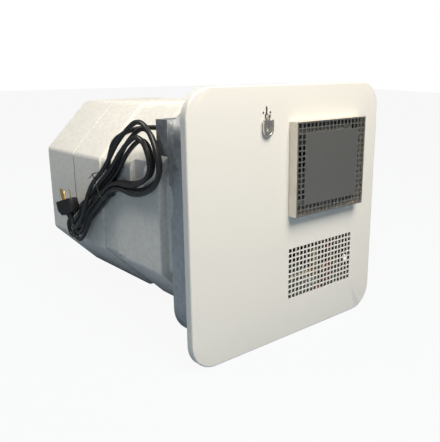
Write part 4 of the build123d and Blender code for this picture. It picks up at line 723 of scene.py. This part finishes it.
# %% A tube along a spline
spline_steps = 8
bevel_steps = 3


def spline_curve(name, points, radius):
    """A round tube along a smooth spline, or a bare line where the radius is 0."""
    curve = bpy.data.curves.new(name, "CURVE")
    curve.dimensions = "3D"
    curve.bevel_depth = radius
    curve.bevel_resolution = bevel_steps if radius else 0
    curve.use_fill_caps = bool(radius)
    line = curve.splines.new("NURBS")
    line.points.add(len(points) - 1)
    for spot, point in zip(line.points, points):
        spot.co = (*point, 1)
    line.order_u = 3
    line.use_endpoint_u = True
    line.resolution_u = spline_steps
    return curve


def drawn_points(points):
    """The points that Blender draws the smooth line with."""
    bare = bpy.data.objects.new("bare_line", spline_curve("bare_line", points, 0))
    mesh = bpy.data.meshes.new_from_object(bare)
    bpy.data.objects.remove(bare)
    return [vertex.co.copy() for vertex in mesh.vertices]


drawn = drawn_points(lead_points)
travelled = [0.0]
for before, after in zip(drawn, drawn[1:]):
    travelled.append(travelled[-1] + (after - before).length)

# %% [markdown]
# A lead that cut through itself would be wrong at once, so its least gap to itself is measured.
# Points that are neighbours along the lead don't count.

# %% Least gap
neighbourhood = 4 * sheath_radius
nearest = min(
    (here - there).length
    for late, here in enumerate(drawn)
    for early, there in enumerate(drawn[:late])
    if travelled[late] - travelled[early] > neighbourhood
)
print("least gap to itself:", round((nearest - 2 * sheath_radius) * 1000, 2), "mm")

# %% [markdown]
# The lead stands for both CAD solids of the cord, which it hides.

# %% The lead
lead_curve = spline_curve("mains_lead", lead_points, sheath_radius)
lead_curve.materials.append(finishes["cord_rubber"])
mains_lead = bpy.data.objects.new("mains_lead", lead_curve)
bpy.context.scene.collection.objects.link(mains_lead)
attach(mains_lead, "heater")
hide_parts("power_lead", "power_lead_hank")

# %% [markdown]
# The heater is seen as it stands on a table, on the bottom edge of its door and the rear edge
# of the foam, so the floor is tilted to touch both.

# %% Floor
floor_half = 6.0
door_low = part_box("access_door")[0]
foam_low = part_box("foam_lower")
front_edge = Vector((0, door_low.y / 2, door_low.z))
rear_edge = Vector((0, foam_low[1].y, foam_low[0].z))
slope = math.atan2(rear_edge.z - front_edge.z, rear_edge.y - front_edge.y)
floor_mesh = bpy.data.meshes.new("floor")
floor_mesh.from_pydata(
    [
        (x, front_edge.y + y * math.cos(slope), front_edge.z + y * math.sin(slope))
        for x in (-floor_half, floor_half)
        for y in (-floor_half, floor_half)
    ],
    [],
    [(0, 2, 3, 1)],
)
floor = bpy.data.objects.new("floor", floor_mesh)
bpy.context.scene.collection.objects.link(floor)
print("floor slope:", round(math.degrees(slope), 2), "degrees")

# %% [markdown]
# The camera sees the floor almost white, while the light that the floor throws back stays weak
# and bluish, so that it doesn't wash out the shaded side of the foam. A Light Path node tells
# the two apart, and a small share of the true floor is left in to keep the heater's shadow.

# %% Floor finish
floor_tint = (0.22, 0.28, 0.35)
floor_roughness = 0.9
white_share = 0.93
white = (1, 1, 1, 1)

floor_finish, tree, shader, _ = new_finish("pale_floor", floor_tint, floor_roughness)
seen = tree.nodes.new("ShaderNodeLightPath")
glow = tree.nodes.new("ShaderNodeEmission")
glow.inputs["Color"].default_value = white
mixer = tree.nodes.new("ShaderNodeMixShader")
share = tree.nodes.new("ShaderNodeMath")
share.operation = "MULTIPLY"
share.inputs[1].default_value = white_share
tree.links.new(seen.outputs["Is Camera Ray"], share.inputs[0])
tree.links.new(share.outputs["Value"], mixer.inputs["Fac"])
tree.links.new(shader.outputs["BSDF"], mixer.inputs[1])
tree.links.new(glow.outputs["Emission"], mixer.inputs[2])
tree.links.new(mixer.outputs["Shader"], tree.nodes["Material Output"].inputs["Surface"])
floor_mesh.materials.append(floor_finish)
print("white share of the floor:", white_share)

# %% [markdown]
# The world has two faces: pure white for the camera, and a soft, slightly cool grey for the
# light that falls on the heater.

# %% World
sky_tint = (0.80, 0.89, 1.0, 1)
sky_strength = 0.15

world = bpy.data.worlds.new("studio")
bpy.context.scene.world = world
world.use_nodes = True
tree = world.node_tree
sky = tree.nodes["Background"]
sky.inputs["Color"].default_value = sky_tint
sky.inputs["Strength"].default_value = sky_strength
backdrop = tree.nodes.new("ShaderNodeBackground")
backdrop.inputs["Color"].default_value = white
seen = tree.nodes.new("ShaderNodeLightPath")
either = tree.nodes.new("ShaderNodeMath")
either.operation = "MAXIMUM"
mixer = tree.nodes.new("ShaderNodeMixShader")
tree.links.new(seen.outputs["Is Camera Ray"], either.inputs[0])
tree.links.new(seen.outputs["Is Transmission Ray"], either.inputs[1])
tree.links.new(either.outputs["Value"], mixer.inputs["Fac"])
tree.links.new(sky.outputs["Background"], mixer.inputs[1])
tree.links.new(backdrop.outputs["Background"], mixer.inputs[2])
tree.links.new(mixer.outputs["Shader"], tree.nodes["World Output"].inputs["Surface"])
print("sky strength:", sky_strength)

# %% [markdown]
# The photograph's light comes from above and in front: the top of the door is warm and bright,
# and the door darkens towards its bottom edge. One large soft lamp overhead does this, and a
# second one above the foam lights its top. A weak bluish lamp low on the left keeps the shaded
# parts readable. A row gives a lamp's name, place, target, side in metres, watts and colour.

# %% Lamps
lamp_rows = [
    ("overhead", (-0.02, -0.85, 1.22), (0.02, 0.05, 0.10), 0.8, 32.0, (1.0, 0.93, 0.82)),
    ("above_foam", (-0.75, 0.75, 1.35), (-0.1, 0.25, 0.1), 0.8, 12.0, (1.0, 0.95, 0.87)),
    ("front_low", (-1.3, -0.9, -0.05), (0.0, 0.2, 0.0), 1.2, 1.9, (0.66, 0.83, 1.0)),
]
for name, place, target, size, power, colour in lamp_rows:
    lamp = bpy.data.lights.new(name, "AREA")
    lamp.shape = "SQUARE"
    lamp.size = size
    lamp.energy = power
    lamp.color = colour
    holder = bpy.data.objects.new(name, lamp)
    holder.location = place
    holder.rotation_euler = (Vector(target) - Vector(place)).to_track_quat("-Z", "Y").to_euler()
    bpy.context.scene.collection.objects.link(holder)
print("lamps:", len(lamp_rows))
